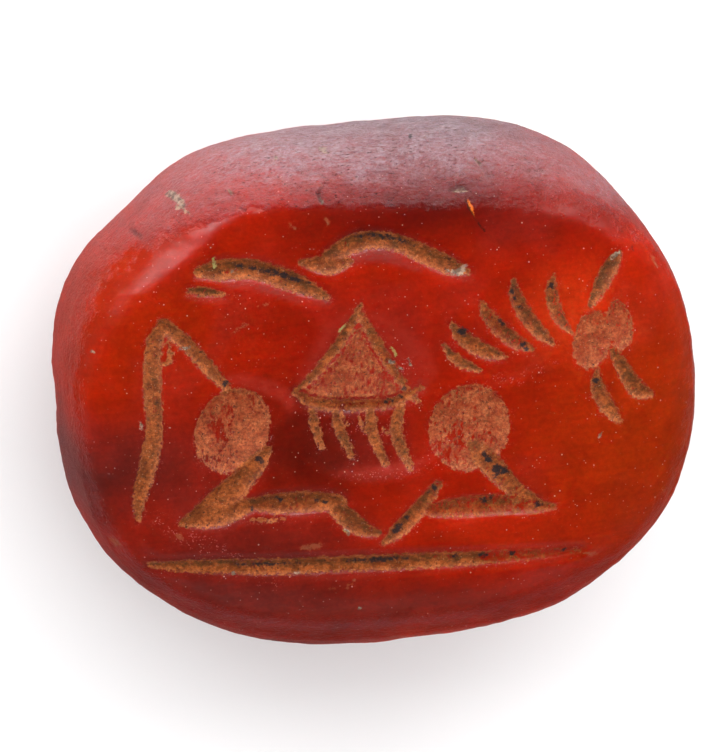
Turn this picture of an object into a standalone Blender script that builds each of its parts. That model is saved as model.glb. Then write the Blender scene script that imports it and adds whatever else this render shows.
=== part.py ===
"""Scaraboid seal: one carnelian bead, flat-faced and domed, with a recumbent animal cut into its face.

The stone lies on its domed back with the engraved face up (+Z).  +X runs along the stone, from the
animal's tail to its head, and +Y towards the top of the design.  The origin is the middle of the
small worn flat that the stone rests on.  Sizes are in millimetres, and MM turns them into metres.
"""

import math

import bmesh
import bpy
from mathutils import Matrix, Vector

MM = 0.001

# Driving dimensions of the stone.
GIRTH_HALF_LENGTH = 10.1
GIRTH_HALF_WIDTH = 8.3
GIRTH_POWER = 2.5
GIRTH_HEIGHT = 6.2
RIM_HALF_LENGTH = 9.25
RIM_HALF_WIDTH = 6.95
RIM_POWER = 2.7
RIM_HEIGHT = 10.25
FACE_CROWN = 0.3
REST_TRIM = 0.2
DOME_POWER = 2.3
FLANK_START = math.radians(20)

# Worn flats on the outline: direction in degrees, depth, and spread in degrees.
GIRTH_FLATS = (
    (12, 0.12, 10), (31, 0.44, 16), (98, 0.20, 24), (141, 0.38, 12), (219, 0.24, 16), (286, 0.15, 20),
    (321, 0.32, 13), (339, 0.22, 11),
)
RIM_FLATS = (
    (46, 0.42, 15), (72, 0.50, 22), (98, 0.34, 26), (144, 0.90, 15), (222, 0.04, 14), (312, 0.30, 16),
)
# How far the face's edge is worn down below its middle: direction, drop and spread.
RIM_DROPS = ((-12, 0.50, 42), (-90, 0.20, 30), (-140, 0.45, 30), (170, 0.12, 25))
ROLL_START = 0.72

# Facets of the stone, counted round it and from the face's middle to the rest.  The worn rim is a
# narrow slope from the face's last ring to a point a little way down the first flank step.
SIDES = 96
FACE_SCALES = (0.0, 0.24, 0.48, 0.70, 0.80, 0.89, 0.965)
FLANK_STEPS = 7
DOME_STEPS = 9
RIM_WEAR = 0.55

# The string-hole, drilled lengthwise from both ends, with a flared mouth at each.
HOLE_RADIUS = 0.8
HOLE_MOUTH_RADIUS = 1.15
HOLE_MOUTH_DEPTH = 0.6
HOLE_HEIGHT = 5.2
HOLE_SIDES = 20

# The design is drawn about its own middle, which lies this far up the face.
DESIGN_RISE = -0.1

# Wheel cuts: each runs through its points, given as (x, y, half width at the surface).
WHEEL_CUTS = {
    "tail": (
        (-6.90, 3.12, 0.22), (-7.22, 2.60, 0.26), (-7.36, 1.50, 0.28), (-7.37, 0.00, 0.27),
        (-7.52, -0.80, 0.30), (-7.72, -1.50, 0.26), (-7.95, -2.30, 0.22), (-8.03, -2.95, 0.08),
    ),
    "tail_fork": ((-6.90, 3.15, 0.22), (-6.20, 2.47, 0.22), (-5.60, 1.72, 0.22), (-5.10, 1.10, 0.15)),
    "wing_left": (
        (-5.70, 4.72, 0.18), (-5.00, 4.75, 0.34), (-4.10, 4.70, 0.31), (-3.20, 4.38, 0.32),
        (-2.50, 4.05, 0.28), (-1.85, 3.70, 0.12),
    ),
    "wing_left_short": ((-6.05, 4.17, 0.08), (-5.60, 4.10, 0.16), (-5.05, 4.00, 0.08)),
    "wing_right": (
        (-1.75, 4.90, 0.20), (-1.00, 5.25, 0.31), (-0.30, 5.35, 0.28), (0.50, 5.18, 0.27),
        (1.30, 4.76, 0.30), (2.00, 4.38, 0.28), (2.55, 4.16, 0.12),
    ),
    "wing_right_bulb": ((-2.55, 4.82, 0.12), (-2.10, 4.72, 0.25), (-1.60, 4.68, 0.30), (-1.10, 4.75, 0.15)),
    "peak_left": (
        (-0.80, 3.35, 0.08), (-1.20, 2.65, 0.17), (-1.80, 1.87, 0.17),
        (-2.40, 1.22, 0.14), (-2.95, 0.82, 0.08),
    ),
    "peak_right": (
        (-0.85, 3.15, 0.10), (-0.50, 2.40, 0.18), (0.00, 1.45, 0.16),
        (0.42, 0.72, 0.14), (0.85, 0.15, 0.08),
    ),
    "peak_base": (
        (-3.00, 0.78, 0.08), (-2.50, 0.42, 0.17), (-1.80, 0.24, 0.19), (-0.80, 0.16, 0.19),
        (0.00, 0.18, 0.17), (0.50, 0.35, 0.14), (0.95, 0.60, 0.07),
    ),
    "fringe_1": ((-2.47, 0.16, 0.13), (-2.41, -0.35, 0.16), (-2.23, -1.02, 0.10)),
    "fringe_2": ((-1.73, 0.10, 0.13), (-1.65, -0.50, 0.18), (-1.31, -1.40, 0.12)),
    "fringe_3": ((-0.63, 0.05, 0.15), (-0.63, -0.70, 0.20), (-0.28, -1.72, 0.13)),
    "fringe_4": ((0.28, 0.10, 0.15), (0.13, -0.60, 0.20), (0.22, -1.20, 0.20), (0.47, -1.86, 0.12)),
    "hind_leg": (
        (-3.92, -0.98, 0.14), (-4.25, -1.40, 0.27), (-4.75, -1.88, 0.36), (-5.30, -2.40, 0.46),
        (-5.90, -2.82, 0.38), (-6.70, -3.15, 0.12),
    ),
    "hind_heel": ((-6.55, -3.18, 0.12), (-5.60, -3.00, 0.34), (-4.60, -2.72, 0.24)),
    "hind_shank": ((-4.45, -2.68, 0.22), (-3.60, -2.72, 0.33), (-2.60, -2.74, 0.33), (-1.75, -2.82, 0.22)),
    "hind_foot": ((-2.00, -2.90, 0.25), (-1.52, -3.38, 0.32), (-1.05, -3.75, 0.25), (-0.55, -3.92, 0.08)),
    "fore_leg": (
        (2.50, -1.34, 0.16), (2.86, -1.84, 0.33), (3.27, -2.34, 0.34),
        (3.78, -2.92, 0.27), (4.65, -3.46, 0.10),
    ),
    "fore_shank": (
        (4.90, -3.52, 0.10), (4.10, -3.38, 0.29), (3.20, -3.30, 0.33),
        (2.20, -3.28, 0.34), (1.10, -3.30, 0.24),
    ),
    "fore_foot": (
        (1.30, -2.50, 0.15), (1.00, -2.88, 0.22), (0.50, -3.42, 0.26),
        (0.00, -3.86, 0.24), (-0.48, -4.26, 0.08),
    ),
    "mane_1": ((1.72, 1.92, 0.07), (1.98, 1.52, 0.16), (2.38, 1.22, 0.16), (2.85, 1.02, 0.06)),
    "mane_2": (
        (1.98, 2.58, 0.07), (2.28, 2.14, 0.23), (2.70, 1.78, 0.26), (3.15, 1.52, 0.22), (3.62, 1.38, 0.08),
    ),
    "mane_3": (
        (2.95, 3.18, 0.07), (3.10, 2.80, 0.20), (3.46, 2.30, 0.24), (3.90, 1.88, 0.25), (4.50, 1.52, 0.09),
    ),
    "mane_4": (
        (4.00, 3.78, 0.07), (4.04, 3.30, 0.20), (4.30, 2.70, 0.23), (4.64, 2.17, 0.24), (5.08, 1.70, 0.10),
    ),
    "mane_5": (
        (5.25, 3.83, 0.07), (5.18, 3.38, 0.20), (5.23, 2.88, 0.21), (5.40, 2.42, 0.19), (5.70, 2.00, 0.07),
    ),
    "ear": (
        (7.38, 4.35, 0.10), (7.12, 4.00, 0.24), (6.85, 3.60, 0.25), (6.58, 3.15, 0.20), (6.36, 2.78, 0.09),
    ),
    "jaw_upper": (
        (7.00, 1.28, 0.12), (7.20, 0.90, 0.21), (7.47, 0.36, 0.25),
        (7.77, -0.05, 0.27), (8.20, -0.24, 0.09),
    ),
    "jaw_lower": (
        (6.46, 0.74, 0.08), (6.45, 0.28, 0.21), (6.60, -0.22, 0.25),
        (6.87, -0.63, 0.22), (7.13, -0.98, 0.08),
    ),
    "ground": (
        (-7.70, -4.50, 0.10), (-6.50, -4.57, 0.21), (-5.20, -4.65, 0.25), (-3.00, -4.78, 0.27),
        (-1.00, -4.85, 0.27), (1.00, -4.93, 0.26), (3.00, -4.99, 0.22), (4.60, -5.02, 0.16),
        (5.70, -5.04, 0.08),
    ),
}

# Drilled rounds: middle, half length, half width, turn of the long axis, depth.
DRILL_CUTS = {
    "haunch": (-4.98, -0.30, 1.38, 1.13, 62, 0.42),
    "shoulder": (2.38, -0.76, 1.38, 1.26, 70, 0.42),
    "muzzle": (6.38, 1.70, 0.92, 0.62, 75, 0.30),
    "cheek": (7.25, 2.08, 0.78, 0.40, 95, 0.26),
}

# Shallow hollows ground before the lines were cut: the same values as a drilled round.
HOLLOWS = {
    "body": (-0.55, 0.32, 2.62, 2.90, 96, 0.20),
    "neck": (3.95, 2.15, 2.60, 1.35, 32, 0.10),
}

WHEEL_SIDES = 10
WHEEL_LIFT = 0.30
DRILL_SIDES = 24
DRILL_ROWS = 22
CARNELIAN = (0.42, 0.018, 0.006, 1.0)


def clear_scene():
    for item in list(bpy.data.objects):
        bpy.data.objects.remove(item, do_unlink=True)


def carnelian():
    """Polished, worn carnelian: deep orange-red with a soft gloss."""
    material = bpy.data.materials.new("carnelian")
    material.use_nodes = True
    shader = material.node_tree.nodes["Principled BSDF"]
    shader.inputs["Base Color"].default_value = CARNELIAN
    shader.inputs["Roughness"].default_value = 0.4
    shader.inputs["Metallic"].default_value = 0.0
    return material


def around(angle, humps):
    """The sum of soft humps, each given by its direction, its height and its spread in degrees."""
    total = 0.0
    for direction, height, spread in humps:
        turn = (math.degrees(angle) - direction + 180.0) % 360.0 - 180.0
        total += height * math.exp(-((turn / spread) ** 2))
    return total


def outline_radius(angle, half_length, half_width, power, flats):
    """Radius of a rounded oblong in one direction, less its worn flats."""
    across = abs(math.cos(angle) / half_length) ** power
    up = abs(math.sin(angle) / half_width) ** power
    return (across + up) ** (-1.0 / power) - around(angle, flats)


def girth_radius(angle):
    return outline_radius(angle, GIRTH_HALF_LENGTH, GIRTH_HALF_WIDTH, GIRTH_POWER, GIRTH_FLATS)


def rim_radius(angle):
    return outline_radius(angle, RIM_HALF_LENGTH, RIM_HALF_WIDTH, RIM_POWER, RIM_FLATS)


def face_height(scale):
    return RIM_HEIGHT + FACE_CROWN * (1.0 - scale**2)


def edge_roll(scale):
    """Share of the edge's wear that reaches this far in on the face."""
    return max(0.0, (scale - ROLL_START) / (1.0 - ROLL_START)) ** 2


def stations():
    """Rings from the face's middle to the rest: (share of girth outline, scale of outline, height, wear)."""
    rings = [(0.0, scale, face_height(scale), edge_roll(scale)) for scale in FACE_SCALES]
    for step in range(1, FLANK_STEPS + 1):
        lean = FLANK_START + (math.pi / 2 - FLANK_START) * (step - RIM_WEAR) / (FLANK_STEPS - RIM_WEAR)
        share = (math.sin(lean) - math.sin(FLANK_START)) / (1.0 - math.sin(FLANK_START))
        rise = math.cos(lean) / math.cos(FLANK_START)
        rings.append((share, 1.0, GIRTH_HEIGHT + (RIM_HEIGHT - GIRTH_HEIGHT) * rise, rise))
    depth = GIRTH_HEIGHT + REST_TRIM
    end = math.asin((GIRTH_HEIGHT / depth) ** (DOME_POWER / 2.0))
    for step in range(1, DOME_STEPS + 1):
        lean = end * step / DOME_STEPS
        scale = math.cos(lean) ** (2.0 / DOME_POWER)
        height = GIRTH_HEIGHT - depth * math.sin(lean) ** (2.0 / DOME_POWER)
        rings.append((1.0, scale, 0.0 if step == DOME_STEPS else height, 0.0))
    rings.append((1.0, 0.0, 0.0, 0.0))
    return rings


def stone_mesh():
    """A sphere whose rows of vertices are moved onto the stone's rings."""
    rings = stations()
    shape = bmesh.new()
    bmesh.ops.create_uvsphere(shape, u_segments=SIDES, v_segments=len(rings) - 1, radius=1.0)
    for vert in shape.verts:
        row = round(math.acos(max(-1.0, min(1.0, vert.co.z))) / math.pi * (len(rings) - 1))
        share, scale, height, wear = rings[row]
        angle = math.atan2(vert.co.y, vert.co.x)
        height -= around(angle, RIM_DROPS) * wear
        radius = rim_radius(angle) * (1.0 - share) + girth_radius(angle) * share
        vert.co = Vector((radius * scale * math.cos(angle), radius * scale * math.sin(angle), height)) * MM
    bmesh.ops.recalc_face_normals(shape, faces=shape.faces)
    mesh = bpy.data.meshes.new("seal_stone")
    shape.to_mesh(mesh)
    shape.free()
    mesh.shade_smooth()
    mesh.set_sharp_from_angle(angle=math.radians(35))
    return mesh


def surface_height(x, y):
    """Height of the uncut face over one point."""
    angle = math.atan2(y, x)
    scale = min(1.0, math.hypot(x, y) / rim_radius(angle))
    return face_height(scale) - around(angle, RIM_DROPS) * edge_roll(scale)


def cap_radius(half_width, depth):
    """Radius of the ball whose cap has this half width and depth, in half widths."""
    return (half_width / depth + depth / half_width) / 2.0


def ground_height(x, y):
    """Height of the face over one point of the design once the hollows are ground."""
    lowest = surface_height(x, y + DESIGN_RISE)
    for middle_x, middle_y, half_length, half_width, turn, depth in HOLLOWS.values():
        spot = Matrix.Rotation(-math.radians(turn), 2) @ Vector((x - middle_x, y - middle_y))
        reach = (spot.x / half_length) ** 2 + (spot.y / half_width) ** 2
        if reach < 1.0:
            ball = cap_radius(half_width, depth)
            floor = surface_height(middle_x, middle_y + DESIGN_RISE) - depth
            lowest = min(lowest, floor + half_width * (ball - math.sqrt(ball**2 - reach)))
    return lowest


def as_cutter(shape, name, parent):
    """Turn a closed shape into a hidden tool that cuts the stone."""
    bmesh.ops.recalc_face_normals(shape, faces=shape.faces)
    mesh = bpy.data.meshes.new(name)
    shape.to_mesh(mesh)
    shape.free()
    cutter = bpy.data.objects.new(name, mesh)
    cutter.parent = parent
    cutter.hide_render = True
    cutter.display_type = "WIRE"
    bpy.context.scene.collection.objects.link(cutter)
    return cutter


def wheel_cutter(name, points, parent):
    """A round-bottomed groove with tapered ends, as a gem-cutter's wheel leaves it."""
    shape = bmesh.new()
    spots = [
        Vector((x, y + DESIGN_RISE, ground_height(x, y) + WHEEL_LIFT * half)) for x, y, half in points
    ]
    ring = bmesh.ops.create_circle(shape, segments=WHEEL_SIDES, radius=1.0)["verts"]
    bmesh.ops.contextual_create(shape, geom=ring)
    for index, (spot, point) in enumerate(zip(spots, points)):
        if index:
            edges = [edge for edge in shape.edges if all(vert in ring for vert in edge.verts)]
            grown = bmesh.ops.extrude_edge_only(shape, edges=edges)["geom"]
            ring = [item for item in grown if isinstance(item, bmesh.types.BMVert)]
            ring = [vert for vert in shape.verts if vert in ring]
        before = spots[max(index - 1, 0)]
        after = spots[min(index + 1, len(spots) - 1)]
        side = Vector((before.y - after.y, after.x - before.x, 0.0)).normalized()
        radius = point[2] * math.hypot(1.0, WHEEL_LIFT)
        for corner, vert in enumerate(ring):
            turn = 2.0 * math.pi * corner / WHEEL_SIDES
            vert.co = (spot + radius * (side * math.cos(turn) + Vector((0.0, 0.0, math.sin(turn))))) * MM
    bmesh.ops.contextual_create(shape, geom=ring)
    return as_cutter(shape, name, parent)


def round_cutter(name, values, parent):
    """A shallow round cut: the low cap of a big ellipsoid sunk into the face."""
    x, y, half_length, half_width, turn, depth = values
    y += DESIGN_RISE
    radius = cap_radius(half_width, depth)
    shape = bmesh.new()
    bmesh.ops.create_uvsphere(shape, u_segments=DRILL_SIDES, v_segments=DRILL_ROWS, radius=radius)
    stretch = Matrix.Diagonal((half_length, half_width, half_width, 1.0))
    place = Matrix.Translation((x, y, surface_height(x, y) - depth + radius * half_width))
    bmesh.ops.transform(
        shape,
        verts=shape.verts,
        matrix=Matrix.Scale(MM, 4) @ place @ Matrix.Rotation(math.radians(turn), 4, "Z") @ stretch,
    )
    return as_cutter(shape, name, parent)


def hole_cutter(parent):
    """The string-hole with its flared mouths, turned as one profile about the stone's length."""
    outside = GIRTH_HALF_LENGTH + 1.0
    mouth = GIRTH_HALF_LENGTH
    throat = GIRTH_HALF_LENGTH - HOLE_MOUTH_DEPTH
    right_half = ((throat, HOLE_RADIUS), (mouth, HOLE_MOUTH_RADIUS), (outside, HOLE_MOUTH_RADIUS))
    profile = tuple((-along, radius) for along, radius in reversed(right_half)) + right_half
    shape = bmesh.new()
    verts = [shape.verts.new(Vector((along, 0.0, HOLE_HEIGHT + radius)) * MM) for along, radius in profile]
    edges = [shape.edges.new(pair) for pair in zip(verts, verts[1:])]
    bmesh.ops.spin(
        shape,
        geom=verts + edges,
        cent=Vector((0.0, 0.0, HOLE_HEIGHT)) * MM,
        axis=(1.0, 0.0, 0.0),
        angle=2.0 * math.pi,
        steps=HOLE_SIDES,
        use_merge=True,
    )
    bmesh.ops.holes_fill(shape, edges=shape.edges, sides=HOLE_SIDES)
    return as_cutter(shape, "string_hole", parent)


def cut(stone, cutter):
    modifier = stone.modifiers.new(cutter.name, "BOOLEAN")
    modifier.operation = "DIFFERENCE"
    modifier.solver = "EXACT"
    modifier.object = cutter


def centre_over_origin(parent, stone):
    """Slide the whole seal so that the middle of its outline stands over the origin."""
    evaluated = stone.evaluated_get(bpy.context.evaluated_depsgraph_get())
    xs = [vert.co.x for vert in evaluated.data.vertices]
    ys = [vert.co.y for vert in evaluated.data.vertices]
    parent.location = (-(min(xs) + max(xs)) / 2.0, -(min(ys) + max(ys)) / 2.0, 0.0)


def build():
    clear_scene()
    seal = bpy.data.objects.new("seal", None)
    bpy.context.scene.collection.objects.link(seal)
    stone = bpy.data.objects.new("seal_stone", stone_mesh())
    stone.data.materials.append(carnelian())
    stone.parent = seal
    bpy.context.scene.collection.objects.link(stone)
    for name, values in HOLLOWS.items():
        cut(stone, round_cutter("hollow_" + name, values, seal))
    for name, values in DRILL_CUTS.items():
        cut(stone, round_cutter("drill_" + name, values, seal))
    for name, points in WHEEL_CUTS.items():
        cut(stone, wheel_cutter("wheel_" + name, points, seal))
    cut(stone, hole_cutter(seal))
    centre_over_origin(seal, stone)


build()
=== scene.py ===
import math

import bmesh
import bpy
import numpy as np
from mathutils import Matrix, Vector, noise


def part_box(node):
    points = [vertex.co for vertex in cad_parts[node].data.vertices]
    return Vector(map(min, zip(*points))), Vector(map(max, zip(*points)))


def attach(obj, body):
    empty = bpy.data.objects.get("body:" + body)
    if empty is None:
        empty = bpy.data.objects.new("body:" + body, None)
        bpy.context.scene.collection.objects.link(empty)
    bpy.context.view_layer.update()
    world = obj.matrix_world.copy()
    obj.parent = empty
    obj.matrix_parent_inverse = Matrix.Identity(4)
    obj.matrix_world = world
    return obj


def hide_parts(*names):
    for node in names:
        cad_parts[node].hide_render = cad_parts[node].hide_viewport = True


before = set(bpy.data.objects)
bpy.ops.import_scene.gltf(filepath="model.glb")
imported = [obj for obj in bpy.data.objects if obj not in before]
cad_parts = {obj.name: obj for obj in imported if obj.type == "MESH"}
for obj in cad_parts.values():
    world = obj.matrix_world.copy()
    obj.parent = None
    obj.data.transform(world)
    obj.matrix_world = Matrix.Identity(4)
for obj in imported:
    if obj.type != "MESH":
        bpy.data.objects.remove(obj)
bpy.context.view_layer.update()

MM = 0.001

# ---------------------------------------------------------------- the stone's shape, in millimetres

GIRTH_HALF_LENGTH = 10.1
GIRTH_HALF_WIDTH = 8.3
GIRTH_POWER = 2.5
GIRTH_HEIGHT = 6.2
RIM_HALF_LENGTH = 9.25
RIM_HALF_WIDTH = 6.95
RIM_POWER = 2.7
RIM_HEIGHT = 10.25
FACE_CROWN = 0.3
REST_TRIM = 0.2
DOME_POWER = 2.3
FLANK_START = math.radians(20)

# Worn flats on the outline: direction in degrees, depth, and spread in degrees.
GIRTH_FLATS = (
    (12, 0.12, 10), (31, 0.44, 16), (98, 0.20, 24), (141, 0.38, 12), (219, 0.24, 16), (286, 0.15, 20),
    (321, 0.32, 13), (339, 0.22, 11),
)
RIM_FLATS = (
    (46, 0.42, 15), (72, 0.50, 22), (98, 0.34, 26), (144, 0.90, 15), (222, 0.04, 14), (312, 0.30, 16),
)
# How far the face's edge is worn down below its middle: direction, drop and spread.
RIM_DROPS = ((-12, 0.50, 42), (-90, 0.20, 30), (-140, 0.45, 30), (170, 0.12, 25))
ROLL_START = 0.72

# The string-hole runs the stone's length.
HOLE_RADIUS = 0.8
HOLE_MOUTH_RADIUS = 1.15
HOLE_MOUTH_DEPTH = 0.6
HOLE_HEIGHT = 5.2
# How far round its mouths the stone is smoothed, and how many times its wall is cut along its length.
HOLE_MOUTH_REACH = 0.8
HOLE_CUTS = 60

# Quads of the block that becomes the stone: along it, across it, and down its sides.
BLOCK_CUTS = (159, 119, 39)
FLANK_SHARE = 0.56
DOME_SIDE_END = math.radians(38)
REST_SHARE = 0.22
# The string-hole's mouth on the block's ends: its level, and its half spans across and down.
MOUTH_LEVEL = -0.278
MOUTH_SPAN = (0.196, 0.316)

# ---------------------------------------------------------------- the engraving, in millimetres

DESIGN_RISE = -0.1

# Wheel cuts: each runs through its points, given as (x, y, half width at the surface).
WHEEL_CUTS = {
    "tail": (
        (-6.90, 3.12, 0.22), (-7.22, 2.60, 0.26), (-7.36, 1.50, 0.28), (-7.37, 0.00, 0.27),
        (-7.52, -0.80, 0.30), (-7.72, -1.50, 0.26), (-7.95, -2.30, 0.22), (-8.03, -2.95, 0.08),
    ),
    "tail_fork": ((-6.90, 3.15, 0.22), (-6.20, 2.47, 0.22), (-5.60, 1.72, 0.22), (-5.10, 1.10, 0.15)),
    "wing_left": (
        (-5.70, 4.72, 0.18), (-5.00, 4.75, 0.34), (-4.10, 4.70, 0.31), (-3.20, 4.38, 0.32),
        (-2.50, 4.05, 0.28), (-1.85, 3.70, 0.12),
    ),
    "wing_left_short": ((-6.05, 4.17, 0.08), (-5.60, 4.10, 0.16), (-5.05, 4.00, 0.08)),
    "wing_right": (
        (-1.75, 4.90, 0.20), (-1.00, 5.25, 0.31), (-0.30, 5.35, 0.28), (0.50, 5.18, 0.27),
        (1.30, 4.76, 0.30), (2.00, 4.38, 0.28), (2.55, 4.16, 0.12),
    ),
    "wing_right_bulb": (
        (-2.55, 4.82, 0.12), (-2.10, 4.72, 0.25), (-1.60, 4.68, 0.30), (-1.10, 4.75, 0.15),
    ),
    "peak_left": (
        (-0.80, 3.35, 0.08), (-1.20, 2.65, 0.17), (-1.80, 1.87, 0.17), (-2.40, 1.22, 0.14),
        (-2.95, 0.82, 0.08),
    ),
    "peak_right": (
        (-0.85, 3.15, 0.10), (-0.50, 2.40, 0.18), (0.00, 1.45, 0.16), (0.42, 0.72, 0.14),
        (0.85, 0.15, 0.08),
    ),
    "peak_base": (
        (-3.00, 0.78, 0.08), (-2.50, 0.42, 0.17), (-1.80, 0.24, 0.19), (-0.80, 0.16, 0.19),
        (0.00, 0.18, 0.17), (0.50, 0.35, 0.14), (0.95, 0.60, 0.07),
    ),
    "fringe_1": ((-2.47, 0.16, 0.13), (-2.41, -0.35, 0.16), (-2.23, -1.02, 0.10)),
    "fringe_2": ((-1.73, 0.10, 0.13), (-1.65, -0.50, 0.18), (-1.31, -1.40, 0.12)),
    "fringe_3": ((-0.63, 0.05, 0.15), (-0.63, -0.70, 0.20), (-0.28, -1.72, 0.13)),
    "fringe_4": ((0.28, 0.10, 0.15), (0.13, -0.60, 0.20), (0.22, -1.20, 0.20), (0.47, -1.86, 0.12)),
    "hind_leg": (
        (-3.92, -0.98, 0.14), (-4.25, -1.40, 0.27), (-4.75, -1.88, 0.36), (-5.30, -2.40, 0.46),
        (-5.90, -2.82, 0.38), (-6.70, -3.15, 0.12),
    ),
    "hind_heel": ((-6.55, -3.18, 0.12), (-5.60, -3.00, 0.34), (-4.60, -2.72, 0.24)),
    "hind_shank": (
        (-4.45, -2.68, 0.22), (-3.60, -2.72, 0.33), (-2.60, -2.74, 0.33), (-1.75, -2.82, 0.22),
    ),
    "hind_foot": ((-2.00, -2.90, 0.25), (-1.52, -3.38, 0.32), (-1.05, -3.75, 0.25), (-0.55, -3.92, 0.08)),
    "fore_leg": (
        (2.50, -1.34, 0.16), (2.86, -1.84, 0.33), (3.27, -2.34, 0.34), (3.78, -2.92, 0.27),
        (4.65, -3.46, 0.10),
    ),
    "fore_shank": (
        (4.90, -3.52, 0.10), (4.10, -3.38, 0.29), (3.20, -3.30, 0.33), (2.20, -3.28, 0.34),
        (1.10, -3.30, 0.24),
    ),
    "fore_foot": (
        (1.30, -2.50, 0.15), (1.00, -2.88, 0.22), (0.50, -3.42, 0.26), (0.00, -3.86, 0.24),
        (-0.48, -4.26, 0.08),
    ),
    "mane_1": ((1.72, 1.92, 0.07), (1.98, 1.52, 0.16), (2.38, 1.22, 0.16), (2.85, 1.02, 0.06)),
    "mane_2": (
        (1.98, 2.58, 0.07), (2.28, 2.14, 0.23), (2.70, 1.78, 0.26), (3.15, 1.52, 0.22),
        (3.62, 1.38, 0.08),
    ),
    "mane_3": (
        (2.95, 3.18, 0.07), (3.10, 2.80, 0.20), (3.46, 2.30, 0.24), (3.90, 1.88, 0.25),
        (4.50, 1.52, 0.09),
    ),
    "mane_4": (
        (4.00, 3.78, 0.07), (4.04, 3.30, 0.20), (4.30, 2.70, 0.23), (4.64, 2.17, 0.24),
        (5.08, 1.70, 0.10),
    ),
    "mane_5": (
        (5.25, 3.83, 0.07), (5.18, 3.38, 0.20), (5.23, 2.88, 0.21), (5.40, 2.42, 0.19),
        (5.70, 2.00, 0.07),
    ),
    "ear": (
        (7.38, 4.35, 0.10), (7.12, 4.00, 0.24), (6.85, 3.60, 0.25), (6.58, 3.15, 0.20),
        (6.36, 2.78, 0.09),
    ),
    "jaw_upper": (
        (7.00, 1.28, 0.12), (7.20, 0.90, 0.21), (7.47, 0.36, 0.25), (7.77, -0.05, 0.27),
        (8.20, -0.24, 0.09),
    ),
    "jaw_lower": (
        (6.46, 0.74, 0.08), (6.45, 0.28, 0.21), (6.60, -0.22, 0.25), (6.87, -0.63, 0.22),
        (7.13, -0.98, 0.08),
    ),
    "ground": (
        (-7.70, -4.50, 0.10), (-6.50, -4.57, 0.21), (-5.20, -4.65, 0.25), (-3.00, -4.78, 0.27),
        (-1.00, -4.85, 0.27), (1.00, -4.93, 0.26), (3.00, -4.99, 0.22), (4.60, -5.02, 0.16),
        (5.70, -5.04, 0.08),
    ),
}
NARROWEST = 0.02
# Finer strokes: the drop in the fork of the tail, a line under the hind shank, and chips in the fringe.
FINE_CUTS = {
    "tail_drop": ((-6.80, 2.62, 0.05), (-6.76, 2.20, 0.09), (-6.86, 1.98, 0.08), (-7.05, 1.95, 0.05)),
    "shank_line": ((-4.55, -3.16, 0.05), (-4.10, -3.20, 0.07), (-3.50, -3.20, 0.04)),
    "fringe_chip_1": ((-1.53, -0.05, 0.04), (-1.39, -0.42, 0.05)),
    "fringe_chip_2": ((-1.02, -0.20, 0.04), (-0.92, -0.62, 0.05)),
    "fringe_chip_3": ((-0.32, -0.54, 0.04), (-0.12, -0.80, 0.05)),
}

# Drilled rounds: middle, half length, half width, turn of the long axis in degrees, depth.
DRILL_CUTS = {
    "haunch": (-4.98, -0.30, 1.38, 1.13, 62, 0.42),
    "shoulder": (2.38, -0.76, 1.38, 1.26, 70, 0.42),
    "muzzle": (6.38, 1.70, 0.92, 0.62, 75, 0.30),
    "cheek": (7.25, 2.08, 0.78, 0.40, 95, 0.26),
}

# Shallow hollows ground before the lines were cut: the same values as a drilled round.
HOLLOWS = {
    "body": (-0.55, 0.32, 2.62, 2.90, 96, 0.20),
    "neck": (3.95, 2.15, 2.60, 1.35, 32, 0.10),
}

# How the cuts are worn and filled: a sloping shoulder round each cut, then a bowl partly filled with earth.
SHOULDER_WIDTH = 0.24
SHOULDER_DEPTH = 0.075
# The cuts whose shoulders are widest worn; the others keep this share of it.
WIDE_SHOULDERS = (
    "wing_left", "wing_right", "wing_left_short", "hind_heel", "hind_shank", "peak_base", "ground",
)
NARROW_SHOULDER = 0.32
BOWL_DEPTH = 0.55
# A hollow's wall, as a share of its reach: along the crisp lower side, and elsewhere.
HOLLOW_WALL_LOW = 0.32
HOLLOW_WALL_ELSEWHERE = 0.75
HOLLOW_DULLNESS = 0.4

# The hollow's upper wall round the peak, pale ground stone with painted highlight: its corners, how pale,
# and lips alike.
PALE_WALL = (
    (1.03, 0.30), (1.53, 1.05), (1.41, 1.70), (0.37, 2.90), (-0.86, 3.42), (-1.98, 2.92), (-3.00, 1.25),
    (-2.60, 0.20),
)
PALE_WALL_SHARE = 0.75
PALE_LIT_LIPS = (
    (
        (-5.30, 1.36, 0.06), (-4.70, 1.30, 0.22), (-4.10, 1.10, 0.24), (-3.40, 0.78, 0.24),
        (-3.12, 0.25, 0.14),
    ),
    ((-1.70, -1.88, 0.08), (-0.60, -1.92, 0.20), (0.40, -1.82, 0.16), (1.00, -1.66, 0.04)),
)
# The lower lips of the two wings carry a painted mauve highlight, where they face the light.
MAUVE_LIT_LIPS = (
    ((-1.50, 4.45, 0.06), (-0.80, 4.83, 0.18), (-0.10, 4.85, 0.22), (0.50, 4.62, 0.16), (1.10, 4.30, 0.05)),
    ((-5.00, 4.25, 0.04), (-4.20, 4.22, 0.12), (-3.40, 3.95, 0.14), (-2.70, 3.62, 0.06)),
)

# The patch of earth held between the three lines of the peak.
PEAK_PATCH = ((-0.84, 3.20), (-2.90, 0.60), (0.80, 0.20))
PEAK_PATCH_DEPTH = 0.05
PEAK_GAP = 0.075
PEAK_BARE = 0.55
PEAK_HEART = 0.15
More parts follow.
